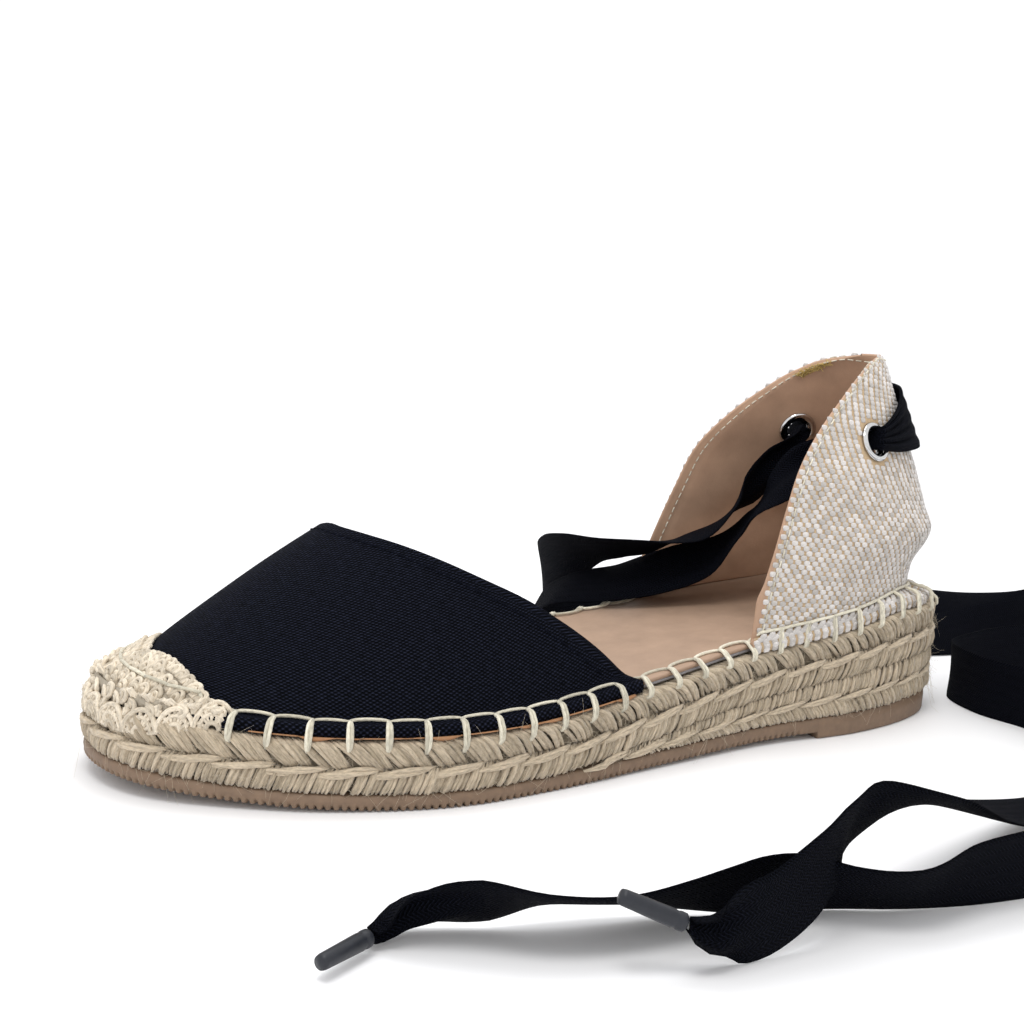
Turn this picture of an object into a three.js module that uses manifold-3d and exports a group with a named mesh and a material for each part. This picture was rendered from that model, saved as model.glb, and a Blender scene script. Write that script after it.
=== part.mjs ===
// Espadrille with ankle ribbons, a left shoe, in millimetres.
// X runs from the heel to the toe, Y to the shoe's left (its outer side) and Z up.
// The shoe is worked out from its heel (x = 0) and moved to the middle of its box at the end.
import * as THREE from "three";
import { mergeVertices } from "three/addons/utils/BufferGeometryUtils.js";
import Module from "manifold-3d";

const wasm = await Module();
wasm.setup();

// ---------------------------------------------------------------- driving sizes

const LENGTH = 255; // sole, heel to toe
const GAP = 0.3; // between pieces that touch

// Half widths of the sole to each side of the axis, at shares of the length.
const OUTLINE = [
  { at: 0, left: 0, right: 0 },
  { at: 0.06, left: 22.8, right: 20.7 },
  { at: 0.18, left: 31.8, right: 31.7 },
  { at: 0.32, left: 33, right: 33.7 },
  { at: 0.45, left: 38.6, right: 34.4 },
  { at: 0.58, left: 44.5, right: 42.2 },
  { at: 0.68, left: 47.1, right: 46.6 },
  { at: 0.8, left: 41.4, right: 45.6 },
  { at: 0.9, left: 29.5, right: 38.3 },
  { at: 0.97, left: 15.7, right: 23.7 },
  { at: 1, left: -5.6, right: 5.6 },
];
const OUTLINE_STEPS = 34; // along each side

// Height of the whole jute sole over the rubber, and of the lift under its upper braid.
const JUTE_HEIGHT = [
  { at: 0, height: 26 },
  { at: 0.06, height: 27 },
  { at: 0.12, height: 27.4 },
  { at: 0.18, height: 25.2 },
  { at: 0.25, height: 23.4 },
  { at: 0.35, height: 20.7 },
  { at: 0.45, height: 17.6 },
  { at: 0.6, height: 14 },
  { at: 0.75, height: 13.2 },
  { at: 1, height: 13.2 },
];
const LIFT_HEIGHT = [
  { at: 0, height: 11.6 },
  { at: 0.08, height: 12 },
  { at: 0.18, height: 10.8 },
  { at: 0.33, height: 7.2 },
  { at: 0.48, height: 2.7 },
  { at: 0.53, height: 1 },
];
const LIFT_END = 0.53; // share of the length
const LIFT_RUNOUT = 0.05; // where the upper braid comes down to the rubber
const LIFT_SHOULDER = 0.8;
const JUTE_SHOULDER = 1.6; // rounding of the braid's top and bottom edges

const RUBBER_HEEL = 7.6;
const RUBBER_FORE = 3.8;
const RUBBER_FORE_FROM = 0.6; // share of the length where the rubber is thinnest
const RUBBER_INSET = 0.3;
const RUBBER_HEEL_INSET = 1;
const RUBBER_EDGE = 0.6; // chamfer along the floor
const TOE_SPRING = 4.4;
const TOE_SPRING_FROM = 0.7;
const BREAST_X = 60; // front of the heel block
const BREAST_SLOPE = 1.5; // length over which the heel block ends
const BREAST_STEP = 1.8; // arch behind the ball, over the floor
const ARCH_END = 0.58 * LENGTH;

const INSOLE_THICK = 2;
const INSOLE_INSET = 2.7;

const WALL = 1.8; // canvas with its lining
const WALL_INSET = 4.5; // foot of the uppers, in from the edge of the sole
const TOE_DRAW = 1.5; // how much further in it lies at the toe's tip
const TOE_DRAW_FROM = 0.88;
const TIP_STEP = 0.25; // the uppers' lines meet at the toe's tip at levels this far apart
const MARGIN_THICK = 1.7; // turned-out margin that is sewn to the sole
const MARGIN_REACH = 4.1;

// Crest of the vamp, with the instep line that it would follow behind the throat.
const CREST = [
  { x: 110, z: 103 },
  { x: 150, z: 86 },
  { x: 195, z: 60.7 },
  { x: 209, z: 51.6 },
  { x: 221, z: 42.9 },
  { x: 231, z: 35.4 },
  { x: 237, z: 30.8 },
  { x: 241, z: 28.2 },
  { x: 246, z: 25.9 },
  { x: 250, z: 24.8 },
];
// The vamp's arch: sharpness at its crest and fullness at its sides.
const ARCH_CREST = 1.25;
const ARCH_SIDE = 1.9;
// Throat line: how far back the vamp's edge lies, by angle up its arch.
const THROAT = [
  { angle: 0, x: 126 },
  { angle: 14, x: 135.4 },
  { angle: 30, x: 152 },
  { angle: 44, x: 169 },
  { angle: 60, x: 183.5 },
  { angle: 72, x: 190.8 },
  { angle: 81, x: 194 },
  { angle: 90, x: 195.2 },
];
const THROAT_SKEW = 5; // the throat is this much shorter on the right side
const MARGIN_REAR_X = 124; // where the vamp's margin ends, behind the throat
const WALL_FROM_ANGLE = 7; // the vamp's outer face starts this far up its arch, on the margin
const FOOT_FADE = 8; // length over which a margin draws back at the cap
const VAMP_ROWS = 28;
const VAMP_STEPS = 22;

const CAP_THICK = 1.9; // crocheted toe cap
const CAP_CLEAR = 0.35; // between the cap and the vamp
const CAP_FROM_ANGLE = 12; // the cap's outer face leaves its foot this far up its arch
const CAP_REAR_CREST = 240;
const CAP_REAR_SIDE = 228;
const CAP_SINK = 1; // how far the vamp is drawn in under the cap
const CAP_SINK_LENGTH = 4;
const CAP_ROWS = 24;
const CAP_STEPS = 8;

// Back line of the heel quarter, and its front edge from the sole to the peak.
const QUARTER = [
  { up: 0, backX: 11.3, backZ: 36, edgeX: 85.4, edgeY: 31.8, edgeZ: 29.3 },
  { up: 0.14, backX: 9.8, backZ: 46.1, edgeX: 81, edgeY: 31.2, edgeZ: 44.1 },
  { up: 0.24, backX: 3.1, backZ: 54.8, edgeX: 77.8, edgeY: 30.4, edgeZ: 53.5 },
  { up: 0.37, backX: 5.3, backZ: 62.6, edgeX: 74, edgeY: 28.8, edgeZ: 64.3 },
  { up: 0.55, backX: 10.3, backZ: 75.6, edgeX: 68.1, edgeY: 26.5, edgeZ: 77.9 },
  { up: 0.7, backX: 13.8, backZ: 84.6, edgeX: 59.5, edgeY: 23, edgeZ: 87.9 },
  { up: 0.82, backX: 16.8, backZ: 92.6, edgeX: 51.2, edgeY: 19.7, edgeZ: 95 },
  { up: 0.92, backX: 19.8, backZ: 100.1, edgeX: 40.6, edgeY: 14.8, edgeZ: 102.5 },
  { up: 0.97, backX: 21.3, backZ: 104.6, edgeX: 33.5, edgeY: 10.3, edgeZ: 105.9 },
  { up: 1, backX: 22.9, backZ: 107.6, edgeX: 26, edgeY: 4.2, edgeZ: 107.6 },
];
const QUARTER_ROUND = 56; // length of the heel's rounding, from its back
const QUARTER_CROWD = 1.5; // how much closer the steps lie at the heel's back
const QUARTER_SWEEP = 1.2; // how late its level lines fall or rise to the front edge
const QUARTER_UPRIGHT = 0.92; // over this the wall keeps the direction it has here
const QUARTER_STANDS = 0.1; // and so it does under this
const QUARTER_ROWS = 22;
const QUARTER_STEPS = 12;

const EYELETS = {
  left: { side: 1, x: 39.6, z: 83.2 },
  right: { side: -1, x: 37, z: 84 },
};
const EYELET_RADIUS = 6;
const EYELET_HOLE = 3.4;
const EYELET_BARREL = 3.9;
const EYELET_LIP = 0.8;
const EYELET_SAG = 0.8; // hollow of the wall's inner face across the flange
const EYELET_SIDES = 20;

const RIBBON_THICK = 1;
const RIBBON_STEPS = 72;
const FLOOR_CLEAR = 0.2; // least height of a ribbon's lower edge
const AGLET_LENGTH = 14;
const AGLET_RADIUS = 1.7;
const AGLET_SIDES = 12;

// The lace behind the heel, from an eyelet to the back: height, half width and distance off.
const BAR = [
  { share: 0, z: 89.5, half: 9, above: 1.6, below: 2.6 },
  { share: 0.45, z: 88, half: 8.2, above: 1.6, below: 2.4 },
  { share: 0.8, z: 85.4, half: 5.4, above: 1.8, below: 2 },
  { share: 1, z: 84, half: 3.1, above: 2, below: 2 },
];
const BAR_STEPS = 9;

// Centre line of each loose lace end, from its eyelet to its aglet. The ribbon stands on edge
// where lean is 0; there its upper edge lies over its lower one, and it leans to its left.
const LACE_RIGHT = [
  { x: 38.6, y: -13.4, z: 83.6, lean: 0, width: 6.2 },
  { x: 43, y: -12, z: 79, lean: 5, width: 9 },
  { x: 51, y: -12.4, z: 72, lean: 10, width: 14 },
  { x: 58.5, y: -12.6, z: 64.4, lean: 25, width: 17 },
  { x: 65, y: -13, z: 57, lean: 60, width: 18 },
  { x: 73, y: -15, z: 51.2, lean: 85, width: 18 },
  { x: 81, y: -18, z: 48.4, lean: 80, width: 18 },
  { x: 88.5, y: -23, z: 46.6, lean: 68, width: 18 },
  { x: 95.5, y: -31, z: 45.2, lean: 64, width: 18 },
  { x: 99, y: -42, z: 43.4, lean: 56, width: 18 },
  { x: 100, y: -55, z: 38, lean: 30, width: 18 },
  { x: 97, y: -72, z: 30, lean: 12, width: 18 },
  { x: 84, y: -89, z: 16.6, lean: 0, width: 18 },
  { x: 62, y: -99, z: 9.6, lean: 0, width: 18 },
  { x: 0, y: -102, z: 9.3, lean: 0, width: 18 },
  { x: -40, y: -90, z: 9, lean: 15, width: 18 },
  { x: -74, y: -74, z: 6.8, lean: 45, width: 18 },
  { x: -112, y: -66, z: 5.8, lean: 55, width: 18 },
  { x: -146, y: -44, z: 9.3, lean: 0, width: 18 },
  { x: -160, y: -6, z: 9.3, lean: 0, width: 18 },
  { x: -146, y: 40, z: 9.3, lean: 0, width: 18 },
  { x: -106, y: 80, z: 9.3, lean: 0, width: 18 },
  { x: -54, y: 110, z: 9.3, lean: 0, width: 18 },
  { x: 0, y: 126, z: 9.3, lean: 0, width: 18 },
  { x: 50, y: 132, z: 9.3, lean: 5, width: 18 },
  { x: 88, y: 133, z: 9, lean: 15, width: 18 },
  { x: 104, y: 132, z: 8.4, lean: 24, width: 18 },
  { x: 118, y: 130.8, z: 7.1, lean: 42, width: 18 },
  { x: 128.4, y: 126.4, z: 7.2, lean: 40, width: 18 },
  { x: 136.5, y: 122.8, z: 7.9, lean: 31, width: 18 },
  { x: 145, y: 121.2, z: 8.2, lean: 28, width: 18 },
  { x: 153, y: 119.6, z: 8, lean: 38, width: 18 },
  { x: 164, y: 118, z: 8, lean: 52, width: 18 },
  { x: 177, y: 116.4, z: 8.6, lean: 64, width: 18 },
  { x: 188, y: 114, z: 9, lean: 60, width: 18 },
  { x: 198, y: 109.6, z: 8.4, lean: 42, width: 18 },
  { x: 206.5, y: 105.6, z: 7, lean: 34, width: 15 },
  { x: 212.5, y: 103.4, z: 4.9, lean: 30, width: 10 },
  { x: 216, y: 103.6, z: 3, lean: 30, width: 5.4 },
  { x: 218.4, y: 105, z: 3, lean: 30, width: 3.4 },
];
const LACE_LEFT = [
  { x: 38.6, y: 13.4, z: 83.6, lean: 0, width: 6.2 },
  { x: 45.5, y: 12, z: 80, lean: -20, width: 9 },
  { x: 53, y: 8, z: 75, lean: -30, width: 14 },
  { x: 59.5, y: 1.6, z: 66.8, lean: -50, width: 17 },
  { x: 64, y: -5.4, z: 56, lean: -62, width: 18 },
  { x: 70, y: -12, z: 46, lean: -58, width: 18 },
  { x: 81, y: -20, z: 39.8, lean: -50, width: 18 },
  { x: 94, y: -31, z: 34, lean: -60, width: 18 },
  { x: 104.5, y: -45, z: 29.6, lean: -60, width: 18 },
  { x: 107, y: -59, z: 19.5, lean: -25, width: 18 },
  { x: 97, y: -70, z: 10.4, lean: -5, width: 18 },
  { x: 74, y: -74, z: 9.3, lean: 0, width: 18 },
  { x: 10, y: -62, z: 9.3, lean: 0, width: 18 },
  { x: -20, y: -46, z: 6.2, lean: 50, width: 18 },
  { x: -50, y: -37, z: 6.4, lean: 48, width: 18 },
  { x: -84, y: -37, z: 9, lean: 16, width: 18 },
  { x: -114, y: -40, z: 9.3, lean: 0, width: 18 },
  { x: -136, y: -24, z: 9.3, lean: 0, width: 18 },
  { x: -126, y: -4, z: 9.3, lean: 0, width: 18 },
  { x: -98, y: 0, z: 9.3, lean: 0, width: 18 },
  { x: -26, y: 2, z: 9.3, lean: 0, width: 18 },
  { x: -8, y: 10, z: 9.3, lean: 0, width: 18 },
  { x: -3, y: 27, z: 9.3, lean: 0, width: 18 },
  { x: -6, y: 46, z: 9.3, lean: 0, width: 18 },
  { x: 0, y: 70, z: 9.4, lean: 5, width: 18 },
  { x: 20, y: 92, z: 8.6, lean: 35, width: 18 },
  { x: 48, y: 104, z: 7, lean: 75, width: 18 },
  { x: 72, y: 112, z: 9.8, lean: 92, width: 18 },
  { x: 92, y: 119, z: 16.4, lean: 90, width: 18 },
  { x: 108, y: 123.6, z: 21.4, lean: 68, width: 18 },
  { x: 119, y: 125, z: 21.6, lean: 40, width: 18 },
  { x: 127, y: 126.6, z: 21.6, lean: 22, width: 18 },
  { x: 132.6, y: 129.6, z: 19.6, lean: 12, width: 18 },
  { x: 138.4, y: 131.8, z: 16, lean: 8, width: 18 },
  { x: 146, y: 133.4, z: 11.8, lean: 6, width: 18 },
  { x: 153.5, y: 134.4, z: 9.3, lean: 8, width: 18 },
  { x: 160, y: 134.6, z: 8.8, lean: 10, width: 16.5 },
  { x: 164.5, y: 134.2, z: 8, lean: 12, width: 11 },
  { x: 167, y: 133.6, z: 8.8, lean: 14, width: 6.5 },
  { x: 169, y: 133, z: 9.7, lean: 15, width: 3.4 },
];

const INK = 0x0d0e14;
const COLOURS = {
  rubber: 0x7a5c44,
  jute: 0xc8b89a,
  crochet: 0xcfc1a6,
  lining: 0xbf9674,
  canvas: INK,
  basket: 0xd8cfc2,
  nickel: 0xc4c4c2,
  ribbon: INK,
  plastic: 0x24262b,
};

// ---------------------------------------------------------------- helpers

const clamp = (v, low = 0, high = 1) => Math.min(high, Math.max(low, v));
const mix = (a, b, t) => a + (b - a) * t;

// A smooth curve through one column of a table, read by another column.
function through(rows, key, value) {
  const xs = rows.map((row) => row[key]);
  const ys = rows.map((row) => row[value]);
  const last = xs.length - 1;
  const slope = xs.slice(1).map((x, i) => (ys[i + 1] - ys[i]) / (x - xs[i]));
  const tangent = xs.map((x, i) => {
    if (i === 0) return slope[0];
    if (i === last) return slope[last - 1];
    const before = x - xs[i - 1];
    const after = xs[i + 1] - x;
    return (slope[i - 1] * after + slope[i] * before) / (before + after);
  });
  return (at) => {
    let i = 0;
    while (i < last - 1 && at > xs[i + 1]) i++;
    const h = xs[i + 1] - xs[i];
    const t = clamp((at - xs[i]) / h);
    const s = 1 - t;
    return (
      (1 + 2 * t) * s * s * ys[i] +
      t * s * s * h * tangent[i] +
      t * t * (3 - 2 * t) * ys[i + 1] -
      t * t * s * h * tangent[i + 1]
    );
  };
}

// One closed geometry from quads of points; doubled points and empty triangles are dropped.
class Surface {
  constructor() {
    this.corners = [];
    this.index = new Map();
    this.triangles = [];
  }
  vertex(p) {
    const key = p.map((v) => Math.round(v * 1e3)).join();
    if (!this.index.has(key)) {
      this.index.set(key, this.corners.length);
      this.corners.push(p);
    }
    return this.index.get(key);
  }
  triangle(a, b, c) {
    const t = [a, b, c].map((p) => this.vertex(p));
    if (new Set(t).size === 3) this.triangles.push(t);
  }
  quad(a, b, c, d) {
    this.triangle(a, b, c);
    this.triangle(a, c, d);
  }
  // Joins two lines of points that run side by side.
  strip(one, two) {
    for (let i = 0; i + 1 < one.length; i++)
      this.quad(one[i], one[i + 1], two[i + 1], two[i]);
  }
  geometry() {
    const volume = this.triangles.reduce((sum, t) => {
      const [a, b, c] = t.map((i) => new THREE.Vector3(...this.corners[i]));
      return sum + a.dot(b.cross(c));
    }, 0);
    const faces = this.triangles.map((t) => (volume < 0 ? [...t].reverse() : t));
    const made = new THREE.BufferGeometry();
    made.setAttribute(
      "position",
      new THREE.Float32BufferAttribute(this.corners.flat(), 3),
    );
    made.setIndex(faces.flat());
    return made;
  }
}

// A slab through rings of points, closed at both ends by rungs between its two sides.
function slab(rings) {
  const made = new Surface();
  const closed = rings.map((ring) => [...ring, ring[0]]);
  for (let k = 0; k + 1 < closed.length; k++)
    made.strip(closed[k], closed[k + 1]);
  const half = rings[0].length / 2;
  const left = (ring) => ring.slice(0, half + 1);
  const right = (ring) => [ring[0], ...ring.slice(half).reverse()];
  made.strip(right(rings[0]), left(rings[0]));
  made.strip(left(rings.at(-1)), right(rings.at(-1)));
  return made.geometry();
}

// A wall between two grids of points, closed round its edges. Where it ends in a tip its left and
// right lines meet there, which closes it without a fourth edge.
function wall(outer, inner, tipped) {
  const made = new Surface();
  for (let j = 0; j + 1 < outer.length; j++) {
    made.strip(outer[j], outer[j + 1]);
    made.strip(inner[j + 1], inner[j]);
  }
  const column = (grid, i) => grid.map((row) => row.at(i));
  made.strip(inner[0], outer[0]);
  made.strip(outer.at(-1), inner.at(-1));
  made.strip(column(outer, 0), column(inner, 0));
  if (!tipped) made.strip(column(inner, -1), column(outer, -1));
  return made.geometry();
}

function solid(geometry) {
  const bare = geometry.clone();
  bare.deleteAttribute("normal");
  bare.deleteAttribute("uv");
  const merged = mergeVertices(bare, 1e-3);
  return new wasm.Manifold(
    new wasm.Mesh({
      numProp: 3,
      vertProperties: merged.attributes.position.array,
      triVerts: new Uint32Array(merged.index.array),
    }),
  );
}

function fromSolid(body) {
  const mesh = body.getMesh();
  const made = new THREE.BufferGeometry();
  made.setAttribute(
    "position",
    new THREE.Float32BufferAttribute(mesh.vertProperties, 3),
  );
  made.setIndex([...mesh.triVerts]);
  return made;
}

// ---------------------------------------------------------------- the sole's outline

const angleAt = (share) => Math.acos(1 - 2 * share);
const outlineByAngle = OUTLINE.map((row) => ({ ...row, angle: angleAt(row.at) }));
const halfWidth = {
  left: through(outlineByAngle, "angle", "left"),
  right: through(outlineByAngle, "angle", "right"),
};

// Angles round one side from the heel to the toe, with a close pair at the heel block's front.
function sideAngles(steps) {
  const even = Array.from({ length: steps + 1 }, (_, i) => (Math.PI * i) / steps);
  const breast = [BREAST_X, BREAST_X + BREAST_SLOPE].map((x) => angleAt(x / LENGTH));
  return [...even, ...breast].sort((a, b) => a - b);
}

// The outline set in by a distance, from the heel along the left side and back along the right.
function outlineRing(inset, steps = OUTLINE_STEPS) {
  const angles = sideAngles(steps);
  const at = (angle, side) => ({
    share: (1 - Math.cos(angle)) / 2,
    y: side === "left" ? halfWidth.left(angle) : -halfWidth.right(angle),
  });
  const ring = [
    ...angles.map((angle) => at(angle, "left")),
    ...angles.slice(1, -1).reverse().map((angle) => at(angle, "right")),
  ];
  const plain = ring.map((p) => new THREE.Vector2(p.share * LENGTH, p.y));
  return plain.map((p, i) => {
    const along = plain[(i + 1) % plain.length]
      .clone()
      .sub(plain.at(i - 1))
      .normalize();
    const d = typeof inset === "function" ? inset(ring[i].share) : inset;
    return { x: p.x + along.y * d, y: p.y - along.x * d, share: ring[i].share };
  });
}

// Where an inset outline lies to each side of the axis, read by x.
function outlineSides(inset) {
  const ring = outlineRing(inset, 120);
  const half = ring.length / 2;
  const read = (points, x) => {
    const rows = [...points].sort((a, b) => a.x - b.x);
    let i = 0;
    while (i < rows.length - 2 && x > rows[i + 1].x) i++;
    const t = clamp((x - rows[i].x) / (rows[i + 1].x - rows[i].x || 1));
    return mix(rows[i].y, rows[i + 1].y, t);
  };
  const xs = ring.map((p) => p.x);
  return {
    toe: Math.max(...xs),
    left: (x) => read(ring.slice(0, half + 1), x),
    right: (x) => read([...ring.slice(half), ring[0]], x),
  };
}

// ---------------------------------------------------------------- heights of the sole

const juteHeight = through(JUTE_HEIGHT, "at", "height");
const liftHeight = through(LIFT_HEIGHT, "at", "height");

function floorZ(share) {
  const x = share * LENGTH;
  const spring = clamp((share - TOE_SPRING_FROM) / (1 - TOE_SPRING_FROM));
  const pastBreast = clamp((ARCH_END - x) / (ARCH_END - BREAST_X));
  const arch = x > BREAST_X + BREAST_SLOPE / 2 ? BREAST_STEP * pastBreast : 0;
  return arch + TOE_SPRING * spring * spring;
}

function rubberTop(share) {
  const spring = clamp((share - TOE_SPRING_FROM) / (1 - TOE_SPRING_FROM));
  const thick = mix(RUBBER_HEEL, RUBBER_FORE, clamp(share / RUBBER_FORE_FROM));
  return thick + TOE_SPRING * spring * spring;
}

const juteTop = (share) => rubberTop(share) + juteHeight(share);
const insoleTop = (share) => juteTop(share) + GAP + INSOLE_THICK;
const seatZ = (x) => insoleTop(clamp(x / LENGTH)) + GAP; // where the uppers stand

// ---------------------------------------------------------------- the sole's pieces

// An inset that grows towards the tip of the toe.
function drawnIn(inset) {
  const into = (share) => clamp((share - TOE_DRAW_FROM) / (1 - TOE_DRAW_FROM));
  return (share) => inset + TOE_DRAW * into(share) ** 2;
}

// Rings of a slab: each level has an inset and a height, by share of the length.
const levels = (rows) =>
  rows.map(({ inset, z }) =>
    outlineRing(inset).map((p) => [p.x, p.y, z(clamp(p.x / LENGTH))]),
  );

function outsole() {
  const heelward = (share) => clamp((0.3 - share) / 0.3);
  const inset = (share) => mix(RUBBER_INSET, RUBBER_HEEL_INSET, heelward(share));
  return slab(
    levels([
      { inset: (share) => inset(share) + RUBBER_EDGE, z: floorZ },
      { inset, z: (share) => floorZ(share) + RUBBER_EDGE },
      { inset, z: rubberTop },
    ]),
  );
}

// The long braid lies on the rubber, and behind the ball on the lift.
function braidUnder(share) {
  const pastLift = clamp((share - LIFT_END) / LIFT_RUNOUT);
  return rubberTop(share) + GAP + (liftHeight(share) + GAP) * (1 - pastLift);
}

function juteBraid() {
  return slab(
    levels([
      { inset: JUTE_SHOULDER, z: braidUnder },
      { inset: 0.2, z: (share) => braidUnder(share) + JUTE_SHOULDER },
      { inset: 0, z: (share) => mix(braidUnder(share), juteTop(share), 0.5) },
      { inset: drawnIn(0.2), z: (share) => juteTop(share) - JUTE_SHOULDER },
      { inset: drawnIn(JUTE_SHOULDER), z: juteTop },
    ]),
  );
}

// The lift is the heel end of the same outline, cut off where it has thinned to nothing.
function juteLift() {
  const under = (share) => rubberTop(share) + GAP;
  const whole = slab(
    levels([
      { inset: LIFT_SHOULDER, z: under },
      { inset: 0, z: (share) => under(share) + liftHeight(share) / 2 },
      { inset: LIFT_SHOULDER, z: (share) => under(share) + liftHeight(share) },
    ]),
  );
  const length = LIFT_END * LENGTH;
  const keep = new THREE.BoxGeometry(2 * length, LENGTH, LENGTH);
  return fromSolid(solid(whole).intersect(solid(keep)));
}

function insole() {
  const under = (share) => juteTop(share) + GAP;
  return slab(
    levels([
      { inset: drawnIn(INSOLE_INSET), z: under },
      { inset: drawnIn(INSOLE_INSET), z: insoleTop },
    ]),
  );
}

// ---------------------------------------------------------------- the vamp and its toe cap

const crestLine = through(CREST, "x", "z");
const throatX = through(THROAT, "angle", "x");
const CREST_FROM = 195;
const CREST_LIFT = 1.15; // a slope of 30 degrees makes a wall this much thicker upwards

const footSides = new Map();
function sidesAt(inset) {
  if (!footSides.has(inset)) footSides.set(inset, outlineSides(drawnIn(inset)));
  return footSides.get(inset);
}

const capRear = (angle) => mix(CAP_REAR_SIDE, CAP_REAR_CREST, angle / 90);

// A point of the arch over the forefoot: angle 0 is its left foot, 90 its crest, 180 its right foot.
// out moves the whole form outwards from the vamp's face.
function archPoint(x, angle, out) {
  const sides = sidesAt(WALL_INSET - out);
  const tip = sidesAt(WALL_INSET).toe;
  const middle = (sides.left(x) + sides.right(x)) / 2;
  const half = (sides.left(x) - sides.right(x)) / 2;
  const scale = (tip - CREST_FROM) / (sides.toe - CREST_FROM);
  const crestX = x > CREST_FROM ? CREST_FROM + (x - CREST_FROM) * scale : x;
  const seat = seatZ(x);
  const intoCap = x - capRear(Math.min(angle, 180 - angle)) + CAP_SINK_LENGTH;
  const sink = CAP_SINK * clamp(intoCap / CAP_SINK_LENGTH);
  const rise = Math.max(0, crestLine(crestX) + out * CREST_LIFT - sink - seat);
  const turn = (angle * Math.PI) / 180;
  const across = Math.sign(Math.cos(turn)) * Math.abs(Math.cos(turn)) ** (2 / ARCH_SIDE);
  return [x, middle + half * across, seat + rise * Math.sin(turn) ** (2 / ARCH_CREST)];
}

// One line of an upper from its rear edge to the tip of the toe, close together at the tip.
function toeLine(rearX, inset, steps, point) {
  const { toe, left } = sidesAt(inset);
  return Array.from({ length: steps + 1 }, (_, i) => {
    const made = point(mix(rearX, toe, Math.sin((i / steps) * (Math.PI / 2))));
    if (i < steps) return made;
    return [made[0], left(toe), Math.round(made[2] / TIP_STEP) * TIP_STEP];
  });
}

const juteZ = (x) => juteTop(clamp(x / LENGTH)) + GAP;

// The faces of an upper's foot, from its lowest line to the wall.
const MARGIN_FACES = {
  outer: [
    { inset: 0.4, z: juteZ },
    { inset: 0.7, z: (x) => seatZ(x) + 1 },
    { inset: 1.7, z: (x) => seatZ(x) + MARGIN_THICK },
  ],
  inner: [
    { inset: 2.1, z: juteZ },
    { inset: 2.1, z: seatZ },
    { inset: 3.5, z: seatZ },
  ],
};
const CAP_FACES = {
  outer: [
    { inset: 0.4, z: juteZ },
    { inset: 0.5, z: (x) => seatZ(x) + 1 },
  ],
  inner: [
    { inset: 2.1, z: juteZ },
    { inset: 2.1, z: seatZ },
  ],
};

// Lines of the foot on one side. Where it ends they rise to the seat, then draw back under the wall.
function footLines(faces, side, rearX, wallInset, footEnd, steps) {
  const keep = (x, end) => clamp((end - x) / FOOT_FADE);
  return faces.map(({ inset, z }) => {
    const toeInset = keep(LENGTH, footEnd) ? inset : wallInset;
    return toeLine(rearX, toeInset, steps, (x) => [
      x,
      mix(sidesAt(wallInset)[side](x), sidesAt(inset)[side](x), keep(x, footEnd)),
      mix(seatZ(x), z(x), keep(x, footEnd - FOOT_FADE)),
    ]);
  });
}

// A whole face of an upper: left foot, arch, right foot.
function upperFace({ faces, out, rear, footRear, footEnd, rows, steps, from }) {
  const inset = WALL_INSET - out;
  const foot = (side) => footLines(faces, side, footRear, inset, footEnd, steps);
  const arch = Array.from({ length: rows + 1 }, (_, j) => {
    const angle = mix(from, 180 - from, j / rows);
    const rearX = rear(Math.min(angle, 180 - angle), angle > 90);
    return toeLine(rearX, inset, steps, (x) => archPoint(x, angle, out));
  });
  return [...foot("left"), ...arch, ...foot("right").reverse()];
}

function throatRear(angle, right) {
  const skew = right ? THROAT_SKEW * Math.sin((2 * angle * Math.PI) / 180) : 0;
  return throatX(angle) + skew;
}

function vamp() {
  const shared = {
    rear: throatRear,
    footRear: MARGIN_REAR_X,
    footEnd: CAP_REAR_SIDE - 1,
    rows: VAMP_ROWS,
    steps: VAMP_STEPS,
  };
  return wall(
    upperFace({ ...shared, faces: MARGIN_FACES.outer, out: 0, from: WALL_FROM_ANGLE }),
    upperFace({ ...shared, faces: MARGIN_FACES.inner, out: -WALL, from: 0 }),
    true,
  );
}

// The cap is cut between two larger forms of the vamp.
function toeCap() {
  const shared = {
    rear: capRear,
    footRear: CAP_REAR_SIDE,
    footEnd: Infinity,
    rows: CAP_ROWS,
    steps: CAP_STEPS,
  };
  const outer = { faces: CAP_FACES.outer, out: CAP_THICK + GAP, from: CAP_FROM_ANGLE };
  const inner = { faces: CAP_FACES.inner, out: CAP_CLEAR, from: 0 };
  return wall(
    upperFace({ ...shared, ...outer }),
    upperFace({ ...shared, ...inner }),
    true,
  );
}

// ---------------------------------------------------------------- the heel quarter

const quarterAt = (column) => through(QUARTER, "up", column);
const quarterLine = {
  backX: quarterAt("backX"),
  backZ: quarterAt("backZ"),
  edgeX: quarterAt("edgeX"),
  edgeY: quarterAt("edgeY"),
  edgeZ: quarterAt("edgeZ"),
};

// A point of the quarter's face: round runs from -1 at its right edge by 0 at the back to 1 at its
// left edge, and up from 0 at the seat to 1 at the peak.
function quarterPoint(round, up) {
  const share = Math.abs(round);
  const backX = quarterLine.backX(up);
  const edgeX = quarterLine.edgeX(up);
  const bow = (d) => Math.sqrt(1 - (1 - clamp(d / QUARTER_ROUND)) ** 2);
  const d = (edgeX - backX) * share ** QUARTER_CROWD;
  const y = (quarterLine.edgeY(up) * bow(d)) / bow(edgeX - backX);
  const lean = (d / (edgeX - backX)) ** QUARTER_SWEEP;
  const z = mix(quarterLine.backZ(up), quarterLine.edgeZ(up), lean);
  const footZ = seatZ(backX + d);
  const settle = clamp(1 - up / QUARTER[1].up);
  return new THREE.Vector3(backX + d, Math.sign(round) * y, mix(z, footZ, settle));
}

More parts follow.
